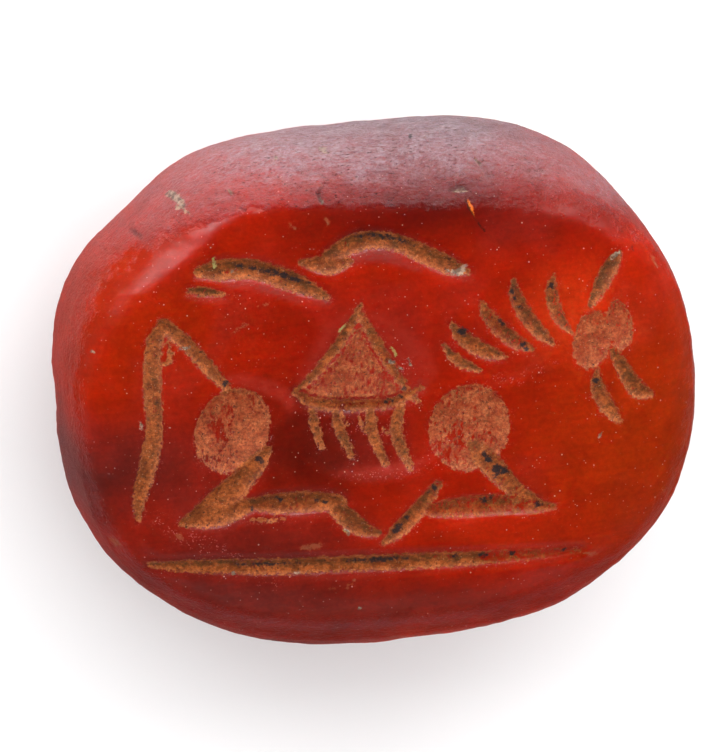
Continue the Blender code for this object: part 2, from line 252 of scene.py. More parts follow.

# The earth left in each cut: how dark its heart is, with dirt and painted shade, and how far the stone shows
# through it.
PLAIN_EARTH = (0.45, 0.15)
EARTH = {
    "tail": (0.35, 0.12), "tail_fork": (0.45, 0.10), "wing_left": (0.72, 0.08),
    "wing_left_short": (0.80, 0.08), "wing_right": (0.70, 0.14), "wing_right_bulb": (0.30, 0.22),
    "peak_left": (0.50, 0.15), "peak_right": (0.45, 0.30), "peak_base": (0.22, 0.42),
    "hind_leg": (0.35, 0.10), "hind_heel": (0.25, 0.05), "hind_shank": (0.65, 0.22),
    "hind_foot": (0.60, 0.15), "fore_shank": (0.45, 0.55), "fore_foot": (0.70, 0.20),
    "mane_1": (0.75, 0.15), "mane_2": (0.60, 0.28), "mane_3": (0.60, 0.36), "mane_4": (0.80, 0.34),
    "mane_5": (0.70, 0.32), "ear": (0.75, 0.15), "jaw_upper": (0.55, 0.15), "jaw_lower": (0.50, 0.24),
    "ground": (0.68, 0.18), "shank_line": (0.20, 0.30), "tail_drop": (0.50, 0.10),
}
# Where the earth has mostly fallen out of a cut: x, y and half width.
THIN_EARTH = (
    ((-2.70, 0.48, 0.03), (-1.80, 0.27, 0.08), (-0.80, 0.20, 0.09), (-0.10, 0.22, 0.04)),
    ((-0.45, 2.20, 0.02), (-0.15, 1.60, 0.06), (0.12, 1.10, 0.03)),
    ((2.40, -4.96, 0.05), (3.40, -4.99, 0.30), (5.70, -5.04, 0.30)),
    ((4.20, -3.30, 0.10), (4.80, -3.45, 0.25)),
)
THIN_BARE = 0.85
ROUND_BARE = 0.42
ROUND_HEART = 0.22
SCRATCHED_BARE = 0.78
# Patches of the rounds that are scratched down to the stone: middle, size and strength.
SCRATCHED = (
    ((-5.35, -0.15), 0.80, 1.0), ((1.75, -1.35), 0.95, 1.0), ((2.95, -1.05), 0.55, 0.8),
    ((-4.75, -0.75), 0.5, 0.5),
)

# Black grains lodged in the earth: x, y and radius.
BLACK_GRAINS = (
    (2.33, 2.28, 0.15), (2.42, 2.16, 0.08), (3.95, 3.38, 0.09), (4.02, 3.18, 0.08), (4.15, 2.90, 0.06),
    (5.18, 3.48, 0.09), (3.52, 2.48, 0.07), (3.60, 2.40, 0.05), (4.22, 1.72, 0.09), (4.30, 1.58, 0.06),
    (2.82, -1.66, 0.10), (2.96, -1.84, 0.12), (3.22, -2.20, 0.17), (3.42, -2.24, 0.13),
    (3.18, -2.36, 0.10), (2.74, -3.14, 0.11), (2.95, -3.06, 0.07), (4.42, -3.40, 0.09),
    (4.55, -3.44, 0.05), (0.08, -3.74, 0.09), (-0.05, -3.86, 0.12), (0.30, -3.50, 0.06),
    (6.42, 0.38, 0.09), (6.46, 0.22, 0.05), (-4.22, -1.25, 0.10), (-4.12, -1.38, 0.06),
    (-5.70, -2.60, 0.05), (-4.50, -2.85, 0.06), (-3.70, -2.55, 0.06), (-3.58, -2.62, 0.05),
    (-0.35, 5.42, 0.07), (0.05, 5.36, 0.05), (-5.10, 1.20, 0.09), (-2.45, -2.72, 0.07),
    (-2.20, -2.80, 0.06), (0.42, 0.62, 0.07), (7.80, 4.42, 0.06), (7.50, 4.93, 0.05), (2.60, -4.90, 0.09),
    (2.75, -4.90, 0.07), (3.55, -4.93, 0.10), (5.20, -4.98, 0.07), (1.75, -4.86, 0.07),
    (1.32, 8.07, 0.06), (-0.12, 0.22, 0.07), (0.06, 0.24, 0.05), (0.32, 0.33, 0.06), (1.20, -2.58, 0.10),
    (1.06, -2.72, 0.06),
)
# Dark streaks along the floors of some cuts, on their upper side, dirt with painted shade: x, y and half
# width.
DIRT_AND_SHADE_STREAKS = (
    ((-5.20, -4.61, 0.02), (-4.00, -4.67, 0.04), (-3.10, -4.70, 0.02)),
    ((-1.60, -4.74, 0.03), (-0.60, -4.77, 0.08), (0.30, -4.80, 0.03)),
    ((-4.60, 4.86, 0.02), (-3.60, 4.60, 0.07), (-2.90, 4.34, 0.08), (-2.30, 4.14, 0.02)),
    ((-0.90, 5.46, 0.02), (-0.20, 5.48, 0.05), (0.50, 5.30, 0.05), (1.00, 5.05, 0.02)),
)
# Pale crusts, grey to cream: each a short mark through (x, y, half width).
PALE_CRUSTS = (
    ((1.95, 4.18, 0.05), (2.32, 4.14, 0.11), (2.54, 4.33, 0.07)),
    ((7.12, 4.14, 0.04), (7.24, 4.26, 0.09), (7.38, 4.36, 0.06)),
    ((-1.84, 6.78, 0.03), (-1.78, 6.60, 0.045)), ((0.03, 1.52, 0.07), (0.12, 1.46, 0.07)),
    ((0.59, 1.58, 0.03), (0.66, 1.34, 0.04)), ((0.34, 1.28, 0.04), (0.40, 1.24, 0.04)),
    ((-4.70, 4.64, 0.04), (-4.60, 4.70, 0.05)), ((-3.34, -5.03, 0.04), (-3.12, -4.99, 0.05)),
    ((-1.31, -6.35, 0.05), (-1.27, -6.33, 0.04)), ((-5.19, -4.90, 0.05), (-5.11, -4.88, 0.05)),
    ((-7.80, 0.16, 0.05), (-7.76, -0.02, 0.06)), ((-6.48, 2.37, 0.03), (-6.12, 2.39, 0.05)),
    ((-6.40, 6.80, 0.05), (-6.15, 6.78, 0.12), (-5.98, 6.62, 0.09), (-6.18, 6.52, 0.05)),
    ((-5.93, 6.48, 0.05), (-5.85, 6.44, 0.05)), ((-4.60, 7.08, 0.04), (-4.50, 7.00, 0.05)),
    ((-1.55, 7.92, 0.04), (-1.38, 7.90, 0.05)), ((-2.98, 7.80, 0.05), (-2.94, 7.80, 0.05)),
    ((2.30, 6.66, 0.05), (2.52, 6.66, 0.09), (2.72, 6.62, 0.05)),
    ((3.18, 7.40, 0.05), (3.26, 7.30, 0.07)), ((-9.12, 2.41, 0.05), (-9.08, 2.38, 0.04)),
    ((-1.62, -3.72, 0.05), (-1.55, -3.82, 0.06)), ((6.52, -1.24, 0.03), (6.40, -1.45, 0.03)),
)
# The yellower ones among them.
YELLOW_CRUSTS = (
    ((-0.08, 1.96, 0.02), (0.10, 1.93, 0.035), (0.21, 1.78, 0.045), (0.18, 1.62, 0.025)),
    ((-1.51, 2.59, 0.03), (-1.24, 2.87, 0.05)), ((-5.24, 5.14, 0.06), (-5.22, 4.85, 0.07)),
    ((-1.72, -3.74, 0.03), (-1.60, -3.80, 0.05)),
)
# Soft tan smudges: the same values.
SMUDGES = (
    ((-2.98, -4.18, 0.08), (-2.50, -4.14, 0.10)), ((5.90, -5.16, 0.05), (6.20, -5.20, 0.06)),
    ((-8.80, -3.70, 0.08), (-8.66, -3.84, 0.10)), ((-6.82, -3.50, 0.08), (-6.76, -3.62, 0.08)),
    ((-4.79, 2.79, 0.03), (-4.36, 3.05, 0.05)), ((-1.67, -5.60, 0.03), (-1.44, -5.39, 0.05)),
    ((-2.90, 6.05, 0.03), (-2.70, 5.90, 0.06)), ((8.60, 3.72, 0.04), (8.50, 4.00, 0.06)),
    ((-1.70, 6.10, 0.05), (-1.66, 5.96, 0.05)), ((-3.95, 3.55, 0.03), (-3.70, 3.62, 0.04)),
    ((-2.20, -5.60, 0.03), (-2.10, -5.57, 0.04)),
)
# A short crack by the top edge, with a painted orange glint inside; its far end is dark.
FLAW = ((2.72, 6.34, 0.03), (2.78, 6.16, 0.05), (2.86, 5.94, 0.035), (2.92, 5.82, 0.02))
DARK_FLAW = (
    (2.66, 6.40, 0.02), (2.72, 6.12, 0.04), (2.88, 5.84, 0.03), (3.04, 5.56, 0.04), (3.18, 5.38, 0.03),
)
# Where the polish is broken, with painted glints as bright points: x, y and half width.
POLISH_GLINTS = (
    ((3.20, 0.80, 0.10), (4.00, 0.62, 0.14), (4.60, 0.86, 0.16), (5.35, 1.12, 0.08)),
    ((-1.90, -1.85, 0.05), (-0.50, -2.05, 0.12), (0.70, -1.95, 0.12), (1.50, -1.80, 0.06)),
    ((-2.10, -0.35, 0.10), (-1.20, -0.60, 0.22), (-0.10, -0.60, 0.20)),
    ((5.50, 6.40, 0.14), (6.20, 6.34, 0.10)), ((0.50, 1.30, 0.25), (0.80, 1.50, 0.15)),
    ((-7.50, -3.00, 0.25), (-6.00, -3.90, 0.30), (-4.00, -5.20, 0.30)),
)
# How much of the same painted glint shows along the lips of the cuts.
LIP_GLINTS = 0.45
# Scars along the top edge and on the sides: depth, then x, y and half width.
SCARS = (
    (0.07, ((-1.60, 7.20, 0.05), (-1.86, 6.92, 0.10), (-1.84, 6.70, 0.08))),
    (0.06, ((2.22, 6.70, 0.06), (2.50, 6.72, 0.12), (2.78, 6.66, 0.06))),
    (0.05, ((3.16, 7.44, 0.06), (3.28, 7.28, 0.08))), (0.05, ((-4.32, 6.64, 0.08), (-4.20, 6.58, 0.08))),
    (0.06, ((-7.52, 5.78, 0.10), (-7.34, 5.70, 0.10))), (0.04, ((4.60, 6.99, 0.05), (5.24, 6.93, 0.07))),
    (0.04, ((3.43, 7.05, 0.06), (3.64, 6.98, 0.06))),
)

# The marks by kind, as the mesh carries them.
SMALL_MARKS = {
    "crust": PALE_CRUSTS, "yellow_crust": YELLOW_CRUSTS, "smudge": SMUDGES, "flaw": (FLAW,),
    "dark_flaw": (DARK_FLAW,), "scar": tuple(points for depth, points in SCARS),
}

# Chips along the top edge of the face: x, y, radius and depth.
EDGE_CHIPS = (
    (-1.75, 6.60, 0.40, 0.06), (-4.45, 6.05, 0.40, 0.05), (0.30, 6.50, 0.40, 0.05),
    (3.60, 6.20, 0.36, 0.04),
)
# Unevenness all over: its scale, its octaves, its height, and how much less of it the face has.
UNEVENNESS = ((0.22, 3, 0.050, 0.000), (0.90, 3, 0.028, 0.020), (3.20, 2, 0.014, 0.012))
# The face's edge is worn in three steps: how high up the block each starts, the y that it stays below or
# the x that it stays beyond, and how many times it smooths.
RIM_WEAR = ((0.82, 99.0, 0.0, 5), (0.62, 4.0, 4.8, 22), (0.62, -1.5, 6.0, 75))

# How wide the change from polished face to worn side is, by direction: extra width and spread in degrees.
EDGE_SOFTNESS = ((0, 1.60, 48), (42, 1.20, 14), (-90, 1.20, 50), (180, 0.60, 32), (150, 1.00, 14))
CRISP_EDGE = 0.26
# Where the worn edge itself is frosted and carries a painted highlight: direction, strength and spread in
# degrees.
EDGE_FROST_HIGHLIGHT = ((125, 0.90, 10), (143, 0.20, 10), (-100, 0.6, 48))
EDGE_HAZE_WIDTH = 0.18
# How frosted the side is, with a painted sheen strongest where the light falls, in the same way, at most
# this much, and what share of it its upper edge keeps.
SHEEN_FROSTED = (
    (70, 0.95, 20), (106, 1.25, 24), (136, 0.16, 16), (180, 0.04, 25), (-150, 0.10, 30), (-75, 0.05, 50),
)
THICKEST_SHEEN_FROST = 1.4
RIDGE_SHEEN_FROST = 0.19
# More frost with painted sheen low on the corner behind the head, and how far out the worn skin starts, by
# direction.
CORNER_SHEEN_FROST = ((30, 1.05, 19),)
SKIN_START = ((149, 1.15, 16), (178, 0.40, 16), (12, 0.60, 24), (45, 0.30, 12), (86, -0.16, 30))
RAGGED_EDGE = ((88, 0.30, 42), (150, 0.12, 20))
# How deeply the side is toothed, by direction, and how dull its upper edge is.
TOOTHED = ((88, 1.00, 48), (160, 0.40, 30), (-150, 0.35, 25))
LEAST_TOOTH = 0.25
DULL_EDGE = ((84, 1.00, 40), (46, 0.90, 16), (143, 0.55, 12))
# Heights above which a place belongs to the face, to its edge, and to the sides that carry marks.
FACE_LEVEL = 9.3
EDGE_LEVEL = 8.2
SIDE_LEVEL = 7.6
# Places that lie further outside every cut or mark than this all count alike.
FAR = -0.6
# How far from a cut, and from a small mark, the mesh is made finer.
FINE_ROUND_CUTS = 0.16
FINE_ROUND_MARKS = 0.10

# ---------------------------------------------------------------- the stone's mesh


def around(angle, humps):
    """The sum of soft humps, each given by its direction, its height and its spread in degrees."""
    total = np.zeros(np.shape(angle))
    for direction, height, spread in humps:
        turn = (np.degrees(angle) - direction + 180.0) % 360.0 - 180.0
        total = total + height * np.exp(-((turn / spread) ** 2))
    return total


def outline_radius(angle, half_length, half_width, power, flats):
    """Radius of a rounded oblong in each direction, less its worn flats."""
    across = np.abs(np.cos(angle) / half_length) ** power
    up = np.abs(np.sin(angle) / half_width) ** power
    radius = (across + up) ** (-1.0 / power)
    return radius - around(angle, flats)


def rim_radius(angle):
    return outline_radius(angle, RIM_HALF_LENGTH, RIM_HALF_WIDTH, RIM_POWER, RIM_FLATS)


def stone_points(block):
    """Where each point of the block, given within -1 to 1, lies on the stone."""
    across, up, level = block.T
    disc_x = across * np.sqrt(1.0 - up**2 / 2.0)
    disc_y = up * np.sqrt(1.0 - across**2 / 2.0)
    reach = np.minimum(np.hypot(disc_x, disc_y), 1.0)
    angle = np.arctan2(disc_y * GIRTH_HALF_WIDTH, disc_x * GIRTH_HALF_LENGTH)
    rim = rim_radius(angle)
    girth = outline_radius(angle, GIRTH_HALF_LENGTH, GIRTH_HALF_WIDTH, GIRTH_POWER, GIRTH_FLATS)

    down = (1.0 - level) / 2.0
    lean = FLANK_START + (math.pi / 2 - FLANK_START) * np.clip(down / FLANK_SHARE, 0.0, 1.0)
    share = (np.sin(lean) - math.sin(FLANK_START)) / (1.0 - math.sin(FLANK_START))
    drop = around(angle, RIM_DROPS)
    height = GIRTH_HEIGHT + (RIM_HEIGHT - drop - GIRTH_HEIGHT) * np.cos(lean) / math.cos(FLANK_START)

    depth = GIRTH_HEIGHT + REST_TRIM
    dome_end = math.asin((GIRTH_HEIGHT / depth) ** (DOME_POWER / 2.0))
    side_lean = DOME_SIDE_END * np.clip((down - FLANK_SHARE) / (1.0 - FLANK_SHARE), 0.0, 1.0)
    inward = np.clip((1.0 - reach) / (1.0 - REST_SHARE), 0.0, 1.0)
    under_lean = DOME_SIDE_END + (dome_end - DOME_SIDE_END) * inward
    dome_lean = np.where(down > 0.999, under_lean, side_lean)
    dome_scale = np.cos(dome_lean) ** (2.0 / DOME_POWER)
    dome_height = GIRTH_HEIGHT - depth * np.sin(dome_lean) ** (2.0 / DOME_POWER)
    rest = (down > 0.999) & (reach <= REST_SHARE)
    dome_scale = np.where(rest, dome_scale * reach / REST_SHARE, dome_scale)
    dome_height = np.where(rest, 0.0, np.maximum(dome_height, 0.0))

    on_face = down < 0.001
    on_dome = down >= FLANK_SHARE
    radius = np.where(on_dome, girth * dome_scale, rim * (1.0 - share) + girth * share)
    radius = np.where(on_face, rim * reach, radius)
    height = np.where(on_dome, dome_height, height)
    roll = np.clip((reach - ROLL_START) / (1.0 - ROLL_START), 0.0, 1.0) ** 2
    height = np.where(on_face, RIM_HEIGHT + FACE_CROWN * (1.0 - reach**2) - drop * roll, height)
    return np.stack([radius * np.cos(angle), radius * np.sin(angle), height], axis=1)


def coordinates(verts):
    return np.array([vert.co for vert in verts])


def runs_along(edge, axis):
    return abs(edge.verts[0].co[axis] - edge.verts[1].co[axis]) > 1.0e-6


def stone_block():
    """A box of quads: its top becomes the face, its sides the flanks, its bottom the dome."""
    block = bmesh.new()
    bmesh.ops.create_cube(block, size=2.0)
    for axis, cuts in enumerate(BLOCK_CUTS):
        along = [edge for edge in block.edges if runs_along(edge, axis)]
        bmesh.ops.subdivide_edges(block, edges=along, cuts=cuts)
    return block


def open_mouths(block):
    """Take the quads out of both ends of the block where the string-hole comes through."""
    mouth = []
    for face in block.faces:
        middle = face.calc_center_median()
        across = middle.y / MOUTH_SPAN[0]
        down = (middle.z - MOUTH_LEVEL) / MOUTH_SPAN[1]
        if abs(middle.x) > 0.999 and math.hypot(across, down) < 1.0:
            mouth.append(face)
    bmesh.ops.delete(block, geom=mouth, context="FACES")


def smooth(shape, verts, factor, passes):
    for _ in range(passes):
        bmesh.ops.smooth_vert(
            shape, verts=verts, factor=factor, use_axis_x=True, use_axis_y=True, use_axis_z=True,
        )


def bore_string_hole(stone):
    """Round off both mouths, join them by a tube, and flare its ends."""
    ring = [edge for edge in stone.edges if edge.is_boundary]
    mouths = {vert for edge in ring for vert in edge.verts}
    for vert in mouths:
        turn = math.atan2(vert.co.z - HOLE_HEIGHT, vert.co.y)
        vert.co.y = HOLE_MOUTH_RADIUS * math.cos(turn)
        vert.co.z = HOLE_HEIGHT + HOLE_MOUTH_RADIUS * math.sin(turn)
    near = [
        vert for vert in stone.verts
        if vert not in mouths and abs(vert.co.x) > 8.0
        and math.hypot(vert.co.y, vert.co.z - HOLE_HEIGHT) < HOLE_MOUTH_RADIUS + HOLE_MOUTH_REACH
    ]
    smooth(stone, near, 0.5, 12)
    ends = max(vert.co.x for vert in mouths), min(vert.co.x for vert in mouths)
    tube = bmesh.ops.bridge_loops(stone, edges=ring)["edges"]
    cut = bmesh.ops.subdivide_edges(stone, edges=tube, cuts=HOLE_CUTS)
    for vert in {item for item in cut["geom_inner"] if isinstance(item, bmesh.types.BMVert)}:
        inward = min(ends[0] - vert.co.x, vert.co.x - ends[1])
        flare = max(0.0, 1.0 - inward / HOLE_MOUTH_DEPTH) ** 2
        radius = HOLE_RADIUS + (HOLE_MOUTH_RADIUS - HOLE_RADIUS) * flare
        turn = math.atan2(vert.co.z - HOLE_HEIGHT, vert.co.y)
        vert.co.y = radius * math.cos(turn)
        vert.co.z = HOLE_HEIGHT + radius * math.sin(turn)


def smooth_path(points, steps=10):
    """A cut's points on one smooth curve, with its half width alongside."""
    knots = np.array(points)
    knots = np.vstack([2.0 * knots[0] - knots[1], knots, 2.0 * knots[-1] - knots[-2]])
    path = []
    for before, start, end, after in zip(knots, knots[1:], knots[2:], knots[3:]):
        for step in range(steps):
            t = step / steps
            path.append(
                0.5 * (
                    2.0 * start
                    + (end - before) * t
                    + (2.0 * before - 5.0 * start + 4.0 * end - after) * t**2
                    + (3.0 * start - before - 3.0 * end + after) * t**3
                )
            )
    path.append(knots[-2])
    path = np.array(path)
    path[:, 2] = np.maximum(path[:, 2], NARROWEST)
    return path


def inside_cut(places, points):
    """How far each place lies inside a cut's edge, the cut's half width there, and how far up in it."""
    path = smooth_path(points)
    inside = np.full(len(places), FAR)
    width = np.full(len(places), 0.1)
    above = np.zeros(len(places))
    low = path[:, :2].min(axis=0) - 1.0
    high = path[:, :2].max(axis=0) + 1.0
    near = np.flatnonzero(((places > low) & (places < high)).all(axis=1))
    spots = places[near]
    best, best_width, best_above = inside[near], width[near], above[near]
    for start, end in zip(path, path[1:]):
        step = end[:2] - start[:2]
        along = np.clip(((spots - start[:2]) @ step) / max(step @ step, 1.0e-9), 0.0, 1.0)
        half = start[2] + (end[2] - start[2]) * along
        away = spots - start[:2] - along[:, None] * step
        gap = half - np.hypot(*away.T)
        better = gap > best
        best = np.where(better, gap, best)
        best_width = np.where(better, half, best_width)
        best_above = np.where(better, away[:, 1] / half, best_above)
    inside[near], width[near], above[near] = best, best_width, best_above
    return inside, width, above


def inside_round(places, values):
    """How far each place lies inside a round's edge, and its share of the way out to that edge."""
    middle_x, middle_y, half_length, half_width, turn, depth = values
    cos, sin = math.cos(math.radians(turn)), math.sin(math.radians(turn))
    x, y = places[:, 0] - middle_x, places[:, 1] - middle_y
    reach = np.hypot((x * cos + y * sin) / half_length, (y * cos - x * sin) / half_width)
    return np.maximum((1.0 - reach) * half_width, FAR), reach


def inside_corners(places, corners):
    """How far each place lies inside a patch with straight sides, its corners given anticlockwise."""
    inside = np.full(len(places), 9.0)
    for start, end in zip(corners, corners[1:] + corners[:1]):
        side = np.array(end) - np.array(start)
        inward = np.array([-side[1], side[0]]) / math.hypot(*side)
        inside = np.minimum(inside, (places - np.array(start)) @ inward)
    return np.maximum(inside, FAR)


def inside_marks(places, marks):
    """How far each place lies inside the nearest of some short marks."""
    inside = np.full(len(places), FAR)
    for points in marks:
        inside = np.maximum(inside, inside_cut(places, points)[0])
    return inside


def inside_spots(places, spots):
    """The same for a scatter of small round marks."""
    inside = np.full(len(places), FAR)
    for x, y, radius in spots:
        inside = np.maximum(inside, radius - np.hypot(places[:, 0] - x, places[:, 1] - y))
    return inside


def ease(share):
    share = np.clip(share, 0.0, 1.0)
    return share * share * (3.0 - 2.0 * share)


def hollow_floor(places):
    """How deep the ground hollows are at each place: their lower walls are crisp, the others gentle."""
    ground = np.zeros(len(places))
    for values in HOLLOWS.values():
        reach = inside_round(places, values)[1]
        x, y = places[:, 0] - values[0], places[:, 1] - values[1]
        upward = ease((y / np.maximum(np.hypot(x, y), 1.0e-6) + 0.95) / 0.9)
        crisp = 1.0 - (1.0 - np.clip((1.0 - reach) / HOLLOW_WALL_LOW, 0.0, 1.0)) ** 2
        gentle = ease((1.0 - reach) / HOLLOW_WALL_ELSEWHERE)
        ground = np.maximum(ground, values[5] * (crisp + (gentle - crisp) * upward))
    return ground


def engraving(places):
    """What the cutting leaves at each place of the face: depth, and the state of its earth and polish."""
    ground = hollow_floor(places)
    unpolished = ease(ground / 0.12) * HOLLOW_DULLNESS
    depth = ground.copy()
    inside = np.full(len(places), FAR)
    bare = np.zeros(len(places))
    heart = np.zeros(len(places))
    drilled = np.zeros(len(places))
    for values in DRILL_CUTS.values():
        gap, reach = inside_round(places, values)
        bowl = values[5] * np.sqrt(np.clip(1.0 - reach**2, 0.0, 1.0)) * 0.5
        shoulder = ease(1.0 + gap / SHOULDER_WIDTH) * NARROW_SHOULDER
        depth = np.maximum(depth, ground + SHOULDER_DEPTH * shoulder + bowl)
        unpolished = np.maximum(unpolished, shoulder)
        inside = np.maximum(inside, gap)
        bare = np.where(gap > 0.0, ROUND_BARE, bare)
        heart = np.where(gap > 0.0, ROUND_HEART * ease((gap - 0.05) / 0.3), heart)
        drilled = np.where(gap > FAR, 1.0, drilled)
    for middle, radius, strength in SCRATCHED:
        away = np.hypot(places[:, 0] - middle[0], places[:, 1] - middle[1])
        scratched = SCRATCHED_BARE * strength * ease(1.6 - 1.6 * away / radius)
        bare = np.maximum(bare, np.where(inside > 0.0, scratched, 0.0))
    closest = np.full(len(places), FAR)
    for name, points in {**WHEEL_CUTS, **FINE_CUTS}.items():
        gap, width, above = inside_cut(places, points)
        bowl = np.sqrt(np.clip(1.0 - (1.0 - np.clip(gap / width, 0.0, 1.0)) ** 2, 0.0, 1.0))
        shoulder = ease(1.0 + gap / SHOULDER_WIDTH) * (1.0 if name in WIDE_SHOULDERS else NARROW_SHOULDER)
        depth = np.maximum(depth, ground + SHOULDER_DEPTH * shoulder + BOWL_DEPTH * width * bowl)
        unpolished = np.maximum(unpolished, shoulder)
        inside = np.maximum(inside, gap)
        dark, thin = EARTH.get(name, PLAIN_EARTH)
        nearest = gap > np.maximum(closest, -0.05)
        bare = np.where(nearest, thin, bare)
        # the heart lies along the middle of the cut, dark with dirt, and darkest on its upper side with
        # painted shade where that wall is turned from the light
        upper = 0.25 + 0.75 * ease((above + 0.60) / 0.80)
        heart = np.where(nearest, dark * ease(gap / (0.45 * width)) * upper, heart)
        drilled = np.where(nearest, 0.0, drilled)
        closest = np.maximum(closest, gap)
    bare = np.maximum(bare, ease(inside_marks(places, THIN_EARTH) / 0.1) * THIN_BARE)
    # the patch keeps a thin gap from the three lines round it
    peak = np.minimum(inside_corners(places, PEAK_PATCH), -closest - PEAK_GAP)
    depth = np.maximum(depth, ground + PEAK_PATCH_DEPTH * ease(peak / 0.10))
    in_patch = (peak > 0.0) & (closest < 0.0)
    bare = np.where(in_patch, PEAK_BARE, bare)
    heart = np.where(in_patch, PEAK_HEART, heart)
    drilled = np.where(in_patch, 1.0, drilled)
    inside = np.maximum(inside, peak)
    return {
        "depth": depth, "cut": inside, "bare": bare, "heart": heart, "drilled": drilled,
        "unpolished": unpolished,
    }


def rough(point, scale, octaves=3):
    """An even roughness between about -1 and 1, the same on every run."""
    return noise.fractal(Vector(point) * scale, 1.0, 2.0, octaves)


def weather(stone):
    """Hand-cut unevenness all over, more on the flanks and dome, and chips along the face's top edge."""
    stone.normal_update()
    for vert in stone.verts:
        place = vert.co.copy()
        face = ease((vert.normal.z - 0.90) / 0.09) if place.z > 9.0 else 0.0
        lift = 0.0
        for scale, octaves, height, smoother in UNEVENNESS:
            lift += rough(place, scale, octaves) * (height - smoother * face)
        edge = ease((place.y - 3.5) / 2.0) * ease((place.z - 8.6) / 1.0) * (1.0 - face)
        edge *= ease((place.x + 6.0) / 1.5) * ease((5.0 - place.x) / 2.0)
        lift += edge * (rough(place, 1.6, 4) * 0.07 - 0.02)
        for x, y, radius, depth in EDGE_CHIPS:
            away = math.hypot(place.x - x, place.y - y) + rough(place, 2.5) * 0.2
            if place.z > 8.0:
                lift -= depth * ease(1.0 - away / radius)
        vert.co = place + vert.normal * lift


def wear_rim(stone, level):
    """Round the face's edge: least along the top, where it is still crisp, most at the other sides."""
    steps = []
    for start, y, x, passes in RIM_WEAR:
        rim = [vert for vert, at in zip(stone.verts, level) if at > start]
        steps.append(([vert for vert in rim if vert.co.y < y or vert.co.x > x], passes))
    for verts, passes in steps:
        smooth(stone, verts, 0.9, passes)


def store(mesh, name, values):
    mesh.attributes.new(name, "FLOAT", "POINT").data.foreach_set("value", values.astype(np.float32))


def plain_stone():
    """The stone before it is engraved, in millimetres, with its string-hole and its wear."""
    stone = stone_block()
    open_mouths(stone)
    level = coordinates(stone.verts)[:, 2]
    for vert, point in zip(stone.verts, stone_points(coordinates(stone.verts))):
        vert.co = point
    wear_rim(stone, level)
    bore_string_hole(stone)
    bmesh.ops.recalc_face_normals(stone, faces=stone.faces)
    weather(stone)
    return stone


def refine(stone):
    """Finer quads wherever something is cut or marked."""
    places = coordinates(stone.verts)
    flat = places[:, :2] - (0.0, DESIGN_RISE)
    near = (engraving(flat)["cut"] > -FINE_ROUND_CUTS) & (places[:, 2] > FACE_LEVEL)
    marks = tuple(mark for kind in SMALL_MARKS.values() for mark in kind)
    near |= (inside_marks(flat, marks) > -FINE_ROUND_MARKS) & (places[:, 2] > SIDE_LEVEL)
    marked = {vert for vert, close in zip(stone.verts, near) if close}
    edges = [edge for edge in stone.edges if edge.verts[0] in marked and edge.verts[1] in marked]
    bmesh.ops.subdivide_edges(stone, edges=edges, cuts=1, use_grid_fill=True)
    bmesh.ops.triangulate(stone, faces=[face for face in stone.faces if len(face.verts) > 4])
    stone.normal_update()


def shape_stone():
    """The engraved stone as a mesh in millimetres, with attributes for its earth, marks and skin."""
    stone = plain_stone()
    refine(stone)
    facing = np.array([vert.normal for vert in stone.verts])
    places = coordinates(stone.verts)
    flat = places[:, :2] - (0.0, DESIGN_RISE)
    on_face = places[:, 2] > FACE_LEVEL
    above_girth = places[:, 2] > SIDE_LEVEL
    beyond = np.hypot(places[:, 0], places[:, 1]) - rim_radius(np.arctan2(places[:, 1], places[:, 0]))
    height = places[:, 2].copy()
    face = engraving(flat)
    for depth, points in SCARS:
        scar = ease(0.35 + inside_cut(flat, points)[0] / 0.16) * depth
        places -= facing * np.where(above_girth, scar, 0.0)[:, None]
    places[:, 2] -= np.where(on_face, face.pop("depth"), 0.0)
    for vert, point in zip(stone.verts, places):
        vert.co = point
    mesh = bpy.data.meshes.new("engraved_carnelian")
    stone.to_mesh(mesh)
    stone.free()

    store_cuts(mesh, flat, face, on_face)
    store_marks(mesh, flat, face["cut"], above_girth)
    ragged = np.array([rough(place, 1.4, 4) for place in places])
    for name, values in worn_skin(places[:, :2], height, beyond, ragged).items():
        store(mesh, name, values)
    return mesh


def store_cuts(mesh, flat, face, on_face):
    """The state of the cuts, and the painted pale and mauve highlights round them."""
    for name, values in face.items():
        store(mesh, name, np.where(on_face, values, FAR if name == "cut" else 0.0))
    # the pale wall and lips, with painted highlight
    wall = PALE_WALL_SHARE * ease(0.3 + inside_corners(flat, PALE_WALL) / 0.45)
    wall = np.maximum(wall, ease(0.35 + inside_marks(flat, PALE_LIT_LIPS) / 0.30))
    store(mesh, "pale_lit_wall", np.where(on_face, wall, 0.0))
    # painted mauve highlight on the lower lips of the wings
    mauve = ease(0.35 + inside_marks(flat, MAUVE_LIT_LIPS) / 0.25)
    store(mesh, "mauve_lit_lip", np.where(on_face, mauve, 0.0))


def store_marks(mesh, flat, cut, above_girth):
    """How far each place lies inside the small marks, and where glints are painted on the polish."""
    # black grains of dirt, and dark streaks that are partly painted shade
    grit_and_shade = np.maximum(inside_spots(flat, BLACK_GRAINS), inside_marks(flat, DIRT_AND_SHADE_STREAKS))
    store(mesh, "grit_and_shade", np.where(above_girth, grit_and_shade, FAR))
    for name, marks in SMALL_MARKS.items():
        store(mesh, name, np.where(above_girth, inside_marks(flat, marks), FAR))
    lip = ease((cut + 0.18) / 0.08) * ease(-cut / 0.04) * LIP_GLINTS
    glint = np.maximum(ease(inside_marks(flat, POLISH_GLINTS) / 0.25 + 0.6), lip)
    store(mesh, "glint", np.where(above_girth, glint, 0.0))


